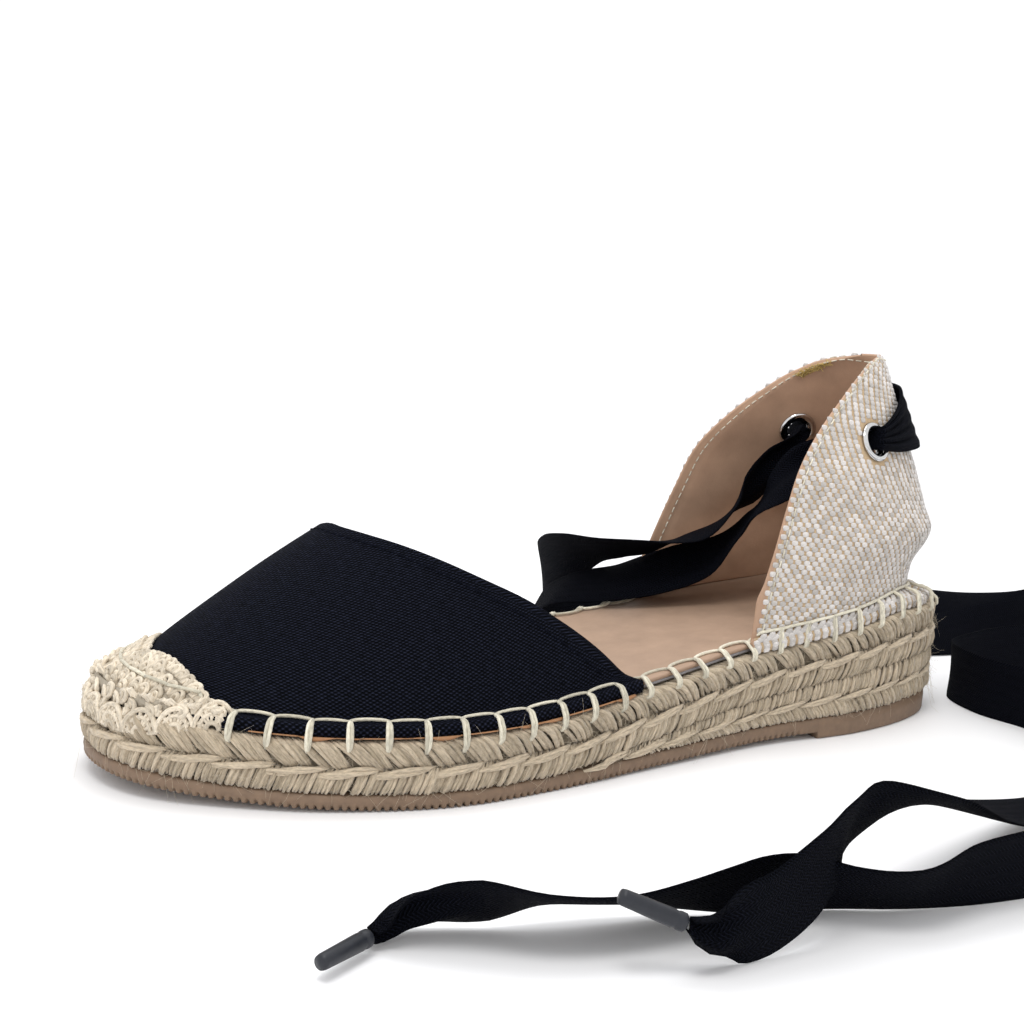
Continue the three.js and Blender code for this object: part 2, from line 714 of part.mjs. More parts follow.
// The outward direction of the quarter's face.
function quarterNormal(round, height) {
  const step = 0.01;
  const up = clamp(height, QUARTER_STANDS, QUARTER_UPRIGHT);
  const difference = (a, b) => quarterPoint(...a).sub(quarterPoint(...b));
  const across = difference([round + step, up], [round - step, up]);
  const rise = difference(
    [round, Math.min(1, up + step)],
    [round, Math.max(0, up - step)],
  );
  return rise.cross(across).normalize();
}

function quarterFace(round, up, out) {
  return quarterPoint(round, up).addScaledVector(quarterNormal(round, up), out);
}

// The quarter's turned-out margin lies on the insole.
function quarterMargin(round, reach, above) {
  const foot = quarterPoint(round, 0);
  const away = quarterNormal(round, 0).setZ(0).normalize();
  return [
    foot.x + away.x * reach,
    foot.y + away.y * reach,
    seatZ(foot.x + away.x * reach) + above,
  ];
}

function quarterShell() {
  const rounds = Array.from(
    { length: 2 * QUARTER_STEPS + 1 },
    (_, i) => 1 - i / QUARTER_STEPS,
  );
  const face = (out, low) =>
    Array.from({ length: QUARTER_ROWS + 1 }, (_, j) =>
      rounds.map((round) => {
        const p = quarterFace(round, j / QUARTER_ROWS, out);
        return [p.x, p.y, j ? p.z : seatZ(p.x) + low];
      }),
    );
  const margin = (reach, above) =>
    rounds.map((round) => quarterMargin(round, reach, above));
  return wall(
    [margin(MARGIN_REACH - 1, MARGIN_THICK), ...face(0, MARGIN_THICK)],
    [margin(MARGIN_REACH - 1, 0), ...face(-WALL, 0)],
    false,
  );
}

// Where the quarter's face passes the eyelet's centre, found by halving.
function eyeletPlace({ side, x, z }) {
  let up = 0.7;
  let round = 0.5;
  for (let turn = 0; turn < 40; turn++) {
    const p = quarterPoint(round, up);
    round = clamp(round + (x - p.x) / 100, 0.05, 0.95);
    up = clamp(up + (z - p.z) / 200, 0.05, 0.95);
  }
  return { round: side * round, up };
}

// Turns a piece made round +Z to stand on the quarter's face.
function placeOnQuarter(geometry, { round, up }, out) {
  const turn = new THREE.Quaternion().setFromUnitVectors(
    new THREE.Vector3(0, 0, 1),
    quarterNormal(round, up),
  );
  return geometry
    .applyQuaternion(turn)
    .translate(...quarterFace(round, up, out).toArray());
}

function lathe(profile, sides) {
  const made = new THREE.LatheGeometry(
    profile.map(([r, z]) => new THREE.Vector2(r, z)),
    sides,
  );
  return made.rotateX(Math.PI / 2);
}

function heelQuarter() {
  let shell = solid(quarterShell());
  for (const place of Object.values(EYELETS).map(eyeletPlace)) {
    const punch = new THREE.CylinderGeometry(
      EYELET_BARREL + GAP,
      EYELET_BARREL + GAP,
      8 * WALL,
      20,
    ).rotateX(Math.PI / 2);
    shell = shell.subtract(solid(placeOnQuarter(punch, place, -WALL / 2)));
  }
  return fromSolid(shell);
}

// ---------------------------------------------------------------- eyelets and laces

// A ring with a flange on each side of the wall, made round +Z from the wall's outer face.
function eyelet(which) {
  const outside = GAP + EYELET_LIP;
  const inside = -WALL - EYELET_SAG - GAP;
  const profile = [
    [EYELET_HOLE, inside - EYELET_LIP],
    [EYELET_RADIUS, inside - EYELET_LIP],
    [EYELET_RADIUS, inside],
    [EYELET_BARREL, inside],
    [EYELET_BARREL, GAP],
    [EYELET_RADIUS, GAP],
    [EYELET_RADIUS - EYELET_LIP / 2, outside],
    [EYELET_HOLE, outside],
    [EYELET_HOLE, inside - EYELET_LIP],
  ];
  return placeOnQuarter(lathe(profile, EYELET_SIDES), eyeletPlace(which), 0);
}

// How far up the quarter lies the height z, found by halving.
function quarterUp(round, z) {
  let low = 0;
  let high = 1;
  for (let turn = 0; turn < 30; turn++) {
    const middle = (low + high) / 2;
    if (quarterPoint(round, middle).z < z) low = middle;
    else high = middle;
  }
  return low;
}

function laceBar() {
  const at = (column) => through(BAR, "share", column);
  const line = { z: at("z"), half: at("half"), above: at("above"), below: at("below") };
  const ends = Object.values(EYELETS).map((place) => eyeletPlace(place).round);
  const face = (thick) =>
    [1, 0.33, -0.33, -1].map((across) =>
      Array.from({ length: 2 * BAR_STEPS + 1 }, (_, i) => {
        const share = Math.abs(i / BAR_STEPS - 1);
        const round = share * (i > BAR_STEPS ? Math.max(...ends) : Math.min(...ends));
        const up = quarterUp(round, line.z(share) + across * line.half(share));
        const off = mix(line.below(share), line.above(share), (across + 1) / 2);
        return quarterFace(round, up, off + thick).toArray();
      }),
    );
  return wall(face(RIBBON_THICK), face(0), false);
}

// A smooth line through the rows of a table, read by the share of its length.
function smoothLine(rows) {
  const spot = (row) => new THREE.Vector3(row.x, row.y, row.z);
  let length = 0;
  const placed = rows.map((row, i) => {
    if (i) length += spot(row).distanceTo(spot(rows[i - 1]));
    return { ...row, at: length };
  });
  const column = (name) => {
    const read = through(placed, "at", name);
    return (share) => read(share * length);
  };
  const [x, y, z] = ["x", "y", "z"].map(column);
  return {
    point: (share) => new THREE.Vector3(x(share), y(share), z(share)),
    tangent(share) {
      const step = 0.5 / rows.length / 10;
      return this.point(share + step).sub(this.point(share - step)).normalize();
    },
    lean: column("lean"),
    width: column("width"),
  };
}

const UP = new THREE.Vector3(0, 0, 1);

function ribbon(rows) {
  const line = smoothLine(rows);
  const section = (share) => {
    const along = line.tangent(share);
    const turn = (line.lean(share) * Math.PI) / 180;
    const left = UP.clone().cross(along).normalize();
    const wide = UP.clone()
      .multiplyScalar(Math.cos(turn))
      .addScaledVector(left, Math.sin(turn));
    wide.addScaledVector(along, -wide.dot(along)).normalize();
    const thin = along.clone().cross(wide);
    const corner = (across, through) =>
      line
        .point(share)
        .addScaledVector(wide, (across * line.width(share)) / 2)
        .addScaledVector(thin, (through * RIBBON_THICK) / 2);
    const corners = [corner(-1, -1), corner(1, -1), corner(1, 1), corner(-1, 1)];
    const lift = Math.max(0, FLOOR_CLEAR - Math.min(...corners.map((p) => p.z)));
    return corners.map((p) => [p.x, p.y, p.z + lift]);
  };
  const sections = Array.from({ length: RIBBON_STEPS + 1 }, (_, i) =>
    section(i / RIBBON_STEPS),
  );
  return slab(sections);
}

// The hard tip past a ribbon's end, in line with it.
function aglet(rows) {
  const line = smoothLine(rows);
  const along = line.tangent(1);
  const made = new THREE.CylinderGeometry(
    AGLET_RADIUS * 0.85,
    AGLET_RADIUS,
    AGLET_LENGTH,
    AGLET_SIDES,
  );
  const middle = line.point(1).addScaledVector(along, AGLET_LENGTH / 2 + GAP);
  return made
    .applyQuaternion(
      new THREE.Quaternion().setFromUnitVectors(new THREE.Vector3(0, 1, 0), along),
    )
    .translate(...middle.toArray());
}

// ---------------------------------------------------------------- the model

const shoe = new THREE.Group();

function add(name, geometry, colour, roughness = 0.9, metalness = 0) {
  const material = new THREE.MeshStandardMaterial({
    color: colour,
    roughness,
    metalness,
  });
  const mesh = new THREE.Mesh(geometry, material);
  mesh.name = name;
  shoe.add(mesh);
}

add("outsole", outsole(), COLOURS.rubber, 0.6);
add("jute_lift", juteLift(), COLOURS.jute);
add("jute_braid", juteBraid(), COLOURS.jute);
add("insole", insole(), COLOURS.lining, 0.7);
add("vamp", vamp(), COLOURS.canvas);
add("toe_cap", toeCap(), COLOURS.crochet);
add("heel_quarter", heelQuarter(), COLOURS.basket);
add("eyelet_left", eyelet(EYELETS.left), COLOURS.nickel, 0.25, 1);
add("eyelet_right", eyelet(EYELETS.right), COLOURS.nickel, 0.25, 1);
add("lace_bar", laceBar(), COLOURS.ribbon);
add("lace_end_left", ribbon(LACE_LEFT), COLOURS.ribbon);
add("lace_end_right", ribbon(LACE_RIGHT), COLOURS.ribbon);
add("aglet_left", aglet(LACE_LEFT), COLOURS.plastic, 0.4);
add("aglet_right", aglet(LACE_RIGHT), COLOURS.plastic, 0.4);

shoe.position.set(-LENGTH / 2, 0, 0);

export default shoe;
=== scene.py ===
"""An espadrille with ankle ribbons: the looks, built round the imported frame.

Shapes are worked out in millimetres from the back of the heel, as in the part's source: x to the toe,
y to the shoe's left (outer) side, z up. to_frame() turns them into metres in the frame.
"""

import math

import bmesh
import bpy
import numpy as np
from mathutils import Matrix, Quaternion, Vector
from mathutils.bvhtree import BVHTree


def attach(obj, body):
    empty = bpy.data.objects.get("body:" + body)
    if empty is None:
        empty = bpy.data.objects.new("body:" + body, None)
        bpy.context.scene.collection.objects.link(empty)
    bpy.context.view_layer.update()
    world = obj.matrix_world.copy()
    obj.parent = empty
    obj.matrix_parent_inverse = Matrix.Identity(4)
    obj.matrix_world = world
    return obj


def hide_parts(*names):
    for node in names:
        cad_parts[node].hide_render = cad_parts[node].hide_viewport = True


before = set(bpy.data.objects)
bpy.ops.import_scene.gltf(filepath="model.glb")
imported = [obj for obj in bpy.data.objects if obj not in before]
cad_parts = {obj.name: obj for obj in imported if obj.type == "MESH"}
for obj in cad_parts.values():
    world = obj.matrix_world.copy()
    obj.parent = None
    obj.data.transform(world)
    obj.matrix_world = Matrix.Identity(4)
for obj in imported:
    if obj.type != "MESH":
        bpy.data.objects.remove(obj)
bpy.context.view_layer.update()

MM = 0.001
LENGTH = 255.0  # sole, heel to toe
GAP = 0.3
dice = np.random.default_rng(38)


# ---------------------------------------------------------------- tables of the shoe's form


def table(columns, *rows):
    """A short table as a dict of arrays, one for each named column."""
    return dict(zip(columns.split(), np.array(rows, float).T))


OUTLINE = table(
    "at left right",
    (0, 0, 0),
    (0.06, 22.8, 20.7),
    (0.18, 31.8, 31.7),
    (0.32, 33, 33.7),
    (0.45, 38.6, 34.4),
    (0.58, 44.5, 42.2),
    (0.68, 47.1, 46.6),
    (0.8, 41.4, 45.6),
    (0.9, 29.5, 38.3),
    (0.97, 15.7, 23.7),
    (1, -5.6, 5.6),
)
JUTE_HEIGHT = table(
    "at height",
    (0, 26),
    (0.06, 27),
    (0.12, 27.4),
    (0.18, 25.2),
    (0.25, 23.4),
    (0.35, 20.7),
    (0.45, 17.6),
    (0.6, 14),
    (0.75, 13.2),
    (1, 13.2),
)
LIFT_HEIGHT = table(
    "at height",
    (0, 11.6),
    (0.08, 12),
    (0.18, 10.8),
    (0.33, 7.2),
    (0.48, 2.7),
    (0.53, 1),
)
LIFT_END, LIFT_RUNOUT = 0.53, 0.05

RUBBER_HEEL, RUBBER_FORE, RUBBER_FORE_FROM = 7.6, 3.8, 0.6
RUBBER_INSET, RUBBER_HEEL_INSET = 0.3, 1.0
TOE_SPRING, TOE_SPRING_FROM = 4.4, 0.7
BREAST_X, BREAST_SLOPE, BREAST_STEP = 60.0, 1.5, 1.8
ARCH_END = 0.58 * LENGTH

INSOLE_THICK, INSOLE_INSET = 2.0, 2.7
WALL, WALL_INSET = 1.8, 4.5
TOE_DRAW, TOE_DRAW_FROM = 1.5, 0.88
MARGIN_REACH = 4.1

CREST = table(
    "x z",
    (110, 103),
    (150, 86),
    (195, 60.7),
    (209, 51.6),
    (221, 42.9),
    (231, 35.4),
    (237, 30.8),
    (241, 28.2),
    (246, 25.9),
    (250, 24.8),
)
ARCH_CREST, ARCH_SIDE = 1.25, 1.9
CREST_FROM, CREST_LIFT = 195.0, 1.15
THROAT = table(
    "angle x",
    (0, 126),
    (14, 135.4),
    (30, 152),
    (44, 169),
    (60, 183.5),
    (72, 190.8),
    (81, 194),
    (90, 195.2),
)
THROAT_SKEW, MARGIN_REAR_X = 5.0, 124.0
WALL_FROM_ANGLE, FOOT_FADE = 7.0, 8.0

CAP_THICK, CAP_CLEAR, CAP_FROM_ANGLE = 1.9, 0.35, 12.0
CAP_REAR_CREST, CAP_REAR_SIDE = 240.0, 228.0
CAP_SINK, CAP_EDGE_THIN, CAP_EDGE_TAPER = 1.0, 0.6, 4.5

QUARTER = table(
    "up backX backZ edgeX edgeY edgeZ",
    (0, 11.3, 36, 85.4, 31.8, 29.3),
    (0.14, 9.8, 46.1, 81, 31.2, 44.1),
    (0.24, 3.1, 54.8, 77.8, 30.4, 53.5),
    (0.37, 5.3, 62.6, 74, 28.8, 64.3),
    (0.55, 10.3, 75.6, 68.1, 26.5, 77.9),
    (0.7, 13.8, 84.6, 59.5, 23, 87.9),
    (0.82, 16.8, 92.6, 51.2, 19.7, 95),
    (0.92, 19.8, 100.1, 40.6, 14.8, 102.5),
    (0.97, 21.3, 104.6, 33.5, 10.3, 105.9),
    (1, 22.9, 107.6, 26, 4.2, 107.6),
)
QUARTER_ROUND, QUARTER_CROWD, QUARTER_SWEEP, QUARTER_UPRIGHT = 56.0, 1.5, 1.2, 0.92
QUARTER_STANDS = 0.1
QUARTER_SETTLE = 0.14

EYELET_HOLE, EYELET_RADIUS = 3.4, 6.0
BAR = table(
    "share z half above below",
    (0, 89.5, 9, 1.6, 2.6),
    (0.45, 88, 8.2, 1.6, 2.4),
    (0.8, 85.4, 5.4, 1.8, 2),
    (1, 84, 3.1, 2, 2),
)

RIBBON_WIDTH, RIBBON_THICK, FLOOR_CLEAR = 18.0, 1.0, 0.2
LACE_COLUMNS = "x y z lean width"
LACE_RIGHT = table(
    LACE_COLUMNS,
    (38.6, -13.4, 83.6, 0, 6.2),
    (43, -12, 79, 5, 9),
    (51, -12.4, 72, 10, 14),
    (58.5, -12.6, 64.4, 25, 17),
    (65, -13, 57, 60, 18),
    (73, -15, 51.2, 85, 18),
    (81, -18, 48.4, 80, 18),
    (88.5, -23, 46.6, 68, 18),
    (95.5, -31, 45.2, 64, 18),
    (99, -42, 43.4, 56, 18),
    (100, -55, 38, 30, 18),
    (97, -72, 30, 12, 18),
    (84, -89, 16.6, 0, 18),
    (62, -99, 9.6, 0, 18),
    (0, -102, 9.3, 0, 18),
    (-40, -90, 9, 15, 18),
    (-74, -74, 6.8, 45, 18),
    (-112, -66, 5.8, 55, 18),
    (-146, -44, 9.3, 0, 18),
    (-160, -6, 9.3, 0, 18),
    (-146, 40, 9.3, 0, 18),
    (-106, 80, 9.3, 0, 18),
    (-54, 110, 9.3, 0, 18),
    (0, 126, 9.3, 0, 18),
    (50, 132, 9.3, 5, 18),
    (88, 133, 9, 15, 18),
    (104, 132, 8.4, 24, 18),
    (118, 130.8, 7.1, 42, 18),
    (128.4, 126.4, 7.2, 40, 18),
    (136.5, 122.8, 7.9, 31, 18),
    (145, 121.2, 8.2, 28, 18),
    (153, 119.6, 8, 38, 18),
    (164, 118, 8, 52, 18),
    (177, 116.4, 8.6, 64, 18),
    (188, 114, 9, 60, 18),
    (198, 109.6, 8.4, 42, 18),
    (206.5, 105.6, 7, 34, 15),
    (212.5, 103.4, 4.9, 30, 10),
    (216, 103.6, 3, 30, 5.4),
    (218.4, 105, 3, 30, 3.4),
)
LACE_LEFT = table(
    LACE_COLUMNS,
    (38.6, 13.4, 83.6, 0, 6.2),
    (45.5, 12, 80, -20, 9),
    (53, 8, 75, -30, 14),
    (59.5, 1.6, 66.8, -50, 17),
    (64, -5.4, 56, -62, 18),
    (70, -12, 46, -58, 18),
    (81, -20, 39.8, -50, 18),
    (94, -31, 34, -60, 18),
    (104.5, -45, 29.6, -60, 18),
    (107, -59, 19.5, -25, 18),
    (97, -70, 10.4, -5, 18),
    (74, -74, 9.3, 0, 18),
    (10, -62, 9.3, 0, 18),
    (-20, -46, 6.2, 50, 18),
    (-50, -37, 6.4, 48, 18),
    (-84, -37, 9, 16, 18),
    (-114, -40, 9.3, 0, 18),
    (-136, -24, 9.3, 0, 18),
    (-126, -4, 9.3, 0, 18),
    (-98, 0, 9.3, 0, 18),
    (-26, 2, 9.3, 0, 18),
    (-8, 10, 9.3, 0, 18),
    (-3, 27, 9.3, 0, 18),
    (-6, 46, 9.3, 0, 18),
    (0, 70, 9.4, 5, 18),
    (20, 92, 8.6, 35, 18),
    (48, 104, 7, 75, 18),
    (72, 112, 9.8, 92, 18),
    (92, 119, 16.4, 90, 18),
    (108, 123.6, 21.4, 68, 18),
    (119, 125, 21.6, 40, 18),
    (127, 126.6, 21.6, 22, 18),
    (132.6, 129.6, 19.6, 12, 18),
    (138.4, 131.8, 16, 8, 18),
    (146, 133.4, 11.8, 6, 18),
    (153.5, 134.4, 9.3, 8, 18),
    (160, 134.6, 8.8, 10, 16.5),
    (164.5, 134.2, 8, 12, 11),
    (167, 133.6, 8.8, 14, 6.5),
    (169, 133, 9.7, 15, 3.4),
)


# ---------------------------------------------------------------- numbers and vectors


def through(rows, key, value):
    """A smooth curve through one column of a table, read by another column."""
    xs, ys = rows[key], rows[value]
    last = len(xs) - 1
    slope = np.diff(ys) / np.diff(xs)
    before, after = np.diff(xs)[:-1], np.diff(xs)[1:]
    inner = (slope[:-1] * after + slope[1:] * before) / (before + after)
    tangent = np.concatenate([slope[:1], inner, slope[-1:]])

    def read(at):
        at = np.asarray(at, float)
        i = np.clip(np.searchsorted(xs, at, "left") - 1, 0, last - 1)
        h = xs[i + 1] - xs[i]
        t = np.clip((at - xs[i]) / h, 0, 1)
        s = 1 - t
        start = (1 + 2 * t) * s * s * ys[i] + t * s * s * h * tangent[i]
        return start + t * t * (3 - 2 * t) * ys[i + 1] - t * t * s * h * tangent[i + 1]

    return read


def mix(a, b, t):
    return a + (b - a) * t


def share_of(x):
    return np.clip(np.asarray(x, float) / LENGTH, 0, 1)


def unit(v):
    return v / np.maximum(np.linalg.norm(v, axis=-1, keepdims=True), 1e-12)


def ease(t):
    t = np.clip(t, 0, 1)
    return t * t * (3 - 2 * t)


def to_frame(points):
    """Millimetres from the heel to metres in the frame."""
    return (np.asarray(points, float) - (LENGTH / 2, 0, 0)) * MM


def from_frame(points):
    return np.asarray(points, float) / MM + (LENGTH / 2, 0, 0)


# ---------------------------------------------------------------- the sole's outline and heights


def angle_at(share):
    return np.arccos(1 - 2 * np.asarray(share, float))


by_angle = dict(OUTLINE, angle=angle_at(OUTLINE["at"]))
half_left = through(by_angle, "angle", "left")
half_right = through(by_angle, "angle", "right")


def outline_ring(inset=0.0, steps=600):
    """The outline set in, from the heel along the left side and back along the right."""
    angles = np.linspace(0, np.pi, steps + 1)
    share = (1 - np.cos(angles)) / 2
    left = np.stack([share * LENGTH, half_left(angles)], -1)
    right = np.stack([share * LENGTH, -half_right(angles)], -1)[1:-1][::-1]
    ring = np.concatenate([left, right])
    shares = np.concatenate([share, share[1:-1][::-1]])
    along = unit(np.roll(ring, -1, 0) - np.roll(ring, 1, 0))
    outward = np.stack([-along[:, 1], along[:, 0]], -1)
    depth = inset(shares) if callable(inset) else inset
    return ring - outward * np.broadcast_to(depth, shares.shape)[:, None], outward


class Edge:
    """The sole's outline by the distance walked along it from the back of the heel."""

    def __init__(self):
        ring, outward = outline_ring()
        step = np.linalg.norm(np.roll(ring, -1, 0) - ring, axis=1)
        self.length = float(step.sum())
        self.walked = np.concatenate([[0], np.cumsum(step)[:-1]])
        self.ring, self.outward = ring, outward

    def read(self, column, s):
        return np.interp(s, self.walked, column, period=self.length)

    def point(self, s, out=0.0):
        """x and y at s, moved outwards by out."""
        s = np.asarray(s, float)
        flat = [self.read(self.ring[:, i], s) + out * self.normal(s)[..., i] for i in (0, 1)]
        return np.stack(flat, -1)

    def normal(self, s):
        return unit(np.stack([self.read(self.outward[:, i], s) for i in (0, 1)], -1))

    def x(self, s):
        return self.read(self.ring[:, 0], s)

    def skin(self, s, z, out=0.0):
        """A point of the sole's side."""
        flat = self.point(s, np.asarray(out))
        return np.concatenate([flat, np.broadcast_to(z, flat.shape[:-1])[..., None]], -1)


edge = Edge()
jute_height = through(JUTE_HEIGHT, "at", "height")
lift_height = through(LIFT_HEIGHT, "at", "height")


def toe_spring(x):
    rise = np.clip((share_of(x) - TOE_SPRING_FROM) / (1 - TOE_SPRING_FROM), 0, 1)
    return TOE_SPRING * rise**2


def floor_z(x):
    past = np.clip((ARCH_END - x) / (ARCH_END - BREAST_X), 0, 1)
    return np.where(x > BREAST_X + BREAST_SLOPE / 2, BREAST_STEP * past, 0) + toe_spring(x)


def rubber_top(x):
    thick = mix(RUBBER_HEEL, RUBBER_FORE, np.clip(share_of(x) / RUBBER_FORE_FROM, 0, 1))
    return thick + toe_spring(x)


def jute_top(x):
    return rubber_top(x) + jute_height(share_of(x))


def insole_top(x):
    return jute_top(x) + GAP + INSOLE_THICK


def seat_z(x):
    return insole_top(x) + GAP


def lift_under(x):
    return rubber_top(x) + GAP


def lift_top(x):
    share = share_of(x)
    return lift_under(x) + lift_height(share) * (share < LIFT_END)


def braid_under(x):
    past = np.clip((share_of(x) - LIFT_END) / LIFT_RUNOUT, 0, 1)
    return rubber_top(x) + GAP + (lift_height(share_of(x)) + GAP) * (1 - past)


def drawn_in(inset):
    def depth(share):
        return inset + TOE_DRAW * np.clip((share - TOE_DRAW_FROM) / (1 - TOE_DRAW_FROM), 0, 1) ** 2

    return depth


# ---------------------------------------------------------------- the uppers' form


class Sides:
    """Where an inset outline lies to each side of the axis, read by x."""

    def __init__(self, inset):
        ring, _ = outline_ring(drawn_in(inset))
        half = len(ring) // 2
        self.toe = ring[:, 0].max()
        self.lines = {}
        for side, points in (("left", ring[: half + 1]), ("right", np.vstack([ring[half:], ring[:1]]))):
            points = points[np.argsort(points[:, 0])]
            self.lines[side] = points

    def read(self, side, x):
        points = self.lines[side]
        return np.interp(x, points[:, 0], points[:, 1])


known_sides = {}


def sides_at(inset):
    return known_sides.setdefault(round(inset, 4), Sides(inset))


crest_line = through(CREST, "x", "z")
throat_x = through(THROAT, "angle", "x")


def cap_rear(angle):
    return mix(CAP_REAR_SIDE, CAP_REAR_CREST, angle / 90)


def arch_point(x, angle, out):
    """A point of the arch over the forefoot: 0 is its left foot, 90 its crest, 180 its right foot."""
    sides = sides_at(WALL_INSET - out)
    tip = sides_at(WALL_INSET).toe
    left, right = sides.read("left", x), sides.read("right", x)
    middle, half = (left + right) / 2, (left - right) / 2
    scale = (tip - CREST_FROM) / (sides.toe - CREST_FROM)
    crest_x = np.where(x > CREST_FROM, CREST_FROM + (x - CREST_FROM) * scale, x)
    seat = seat_z(x)
    folded = np.minimum(angle, 180 - angle)
    sink = CAP_SINK * np.clip((x - cap_rear(folded) + 1) / 1.5, 0, 1)
    rise = np.maximum(0, crest_line(crest_x) + out * CREST_LIFT - sink - seat)
    turn = np.radians(angle)
    across = np.sign(np.cos(turn)) * np.abs(np.cos(turn)) ** (2 / ARCH_SIDE)
    up = np.abs(np.sin(turn)) ** (2 / ARCH_CREST)
    return np.stack(np.broadcast_arrays(x, middle + half * across, seat + rise * up), -1)


def throat_rear(angle):
    folded = np.minimum(angle, 180 - angle)
    skew = THROAT_SKEW * np.sin(2 * np.radians(folded)) * (angle > 90)
    return throat_x(folded) + skew


def toe_xs(rear_x, inset, steps):
    """Steps along an upper's line from its rear edge to the toe's tip, close together at the tip."""
    return mix(rear_x, sides_at(inset).toe, np.sin(np.linspace(0, np.pi / 2, steps + 1)))


def closed_tip(line, inset):
    """The line with its last point on the tip, where an upper's lines all meet."""
    sides = sides_at(inset)
    line[-1, 1] = sides.read("left", sides.toe)
    return line


def foot_line(side, inset, z, rear_x, wall_inset, foot_end, steps):
    """One line of an upper's margin. Past foot_end it draws back under the wall."""
    open_toe = foot_end > LENGTH
    toe_inset = inset if open_toe else wall_inset
    x = toe_xs(rear_x, toe_inset, steps)
    keep = np.clip((foot_end - x) / FOOT_FADE, 0, 1)
    low = np.clip((foot_end - FOOT_FADE - x) / FOOT_FADE, 0, 1)
    y = mix(sides_at(wall_inset).read(side, x), sides_at(inset).read(side, x), keep)
    return closed_tip(np.stack([x, y, mix(seat_z(x), z(x), low)], -1), toe_inset)


def jute_z(x):
    return jute_top(x) + GAP


def upper_face(feet, out, rear, foot_rear, foot_end, rows, steps, first_angle):
    """A whole face of an upper as a grid: left foot, arch, right foot."""
    inset = WALL_INSET - out

    def foot(side):
        return [foot_line(side, at, z, foot_rear, inset, foot_end, steps) for at, z in feet]

    arch = []
    for angle in np.linspace(first_angle, 180 - first_angle, rows + 1):
        line = arch_point(toe_xs(rear(angle), inset, steps), angle, out)
        arch.append(closed_tip(line, inset))
    return np.array(foot("left") + arch + foot("right")[::-1])


quarter_line = {c: through(QUARTER, "up", c) for c in ("backX", "backZ", "edgeX", "edgeY", "edgeZ")}


def quarter_point(side, up):
    """A point of the quarter's face: side runs from -1 at its right edge by 0 at the back to 1."""
    side, up = np.broadcast_arrays(np.asarray(side, float), np.asarray(up, float))
    back_x, edge_x = quarter_line["backX"](up), quarter_line["edgeX"](up)

    def bow(d):
        return np.sqrt(np.maximum(0, 1 - (1 - np.clip(d / QUARTER_ROUND, 0, 1)) ** 2))

    d = (edge_x - back_x) * np.abs(side) ** QUARTER_CROWD
    y = quarter_line["edgeY"](up) * bow(d) / bow(edge_x - back_x)
    lean = (d / (edge_x - back_x)) ** QUARTER_SWEEP
    z = mix(quarter_line["backZ"](up), quarter_line["edgeZ"](up), lean)
    settle = np.clip(1 - up / QUARTER_SETTLE, 0, 1)
    return np.stack([back_x + d, np.sign(side) * y, mix(z, seat_z(back_x + d), settle)], -1)


def quarter_normal(side, height):
    step = 0.01
    side, up = np.broadcast_arrays(
        np.asarray(side, float), np.clip(height, QUARTER_STANDS, QUARTER_UPRIGHT)
    )
    across = quarter_point(side + step, up) - quarter_point(side - step, up)
    rise = quarter_point(side, np.minimum(1, up + step)) - quarter_point(side, np.maximum(0, up - step))
    return unit(np.cross(rise, across))


def quarter_face(side, up, out):
    return quarter_point(side, up) + quarter_normal(side, up) * np.asarray(out, float)[..., None]


# ---------------------------------------------------------------- meshes


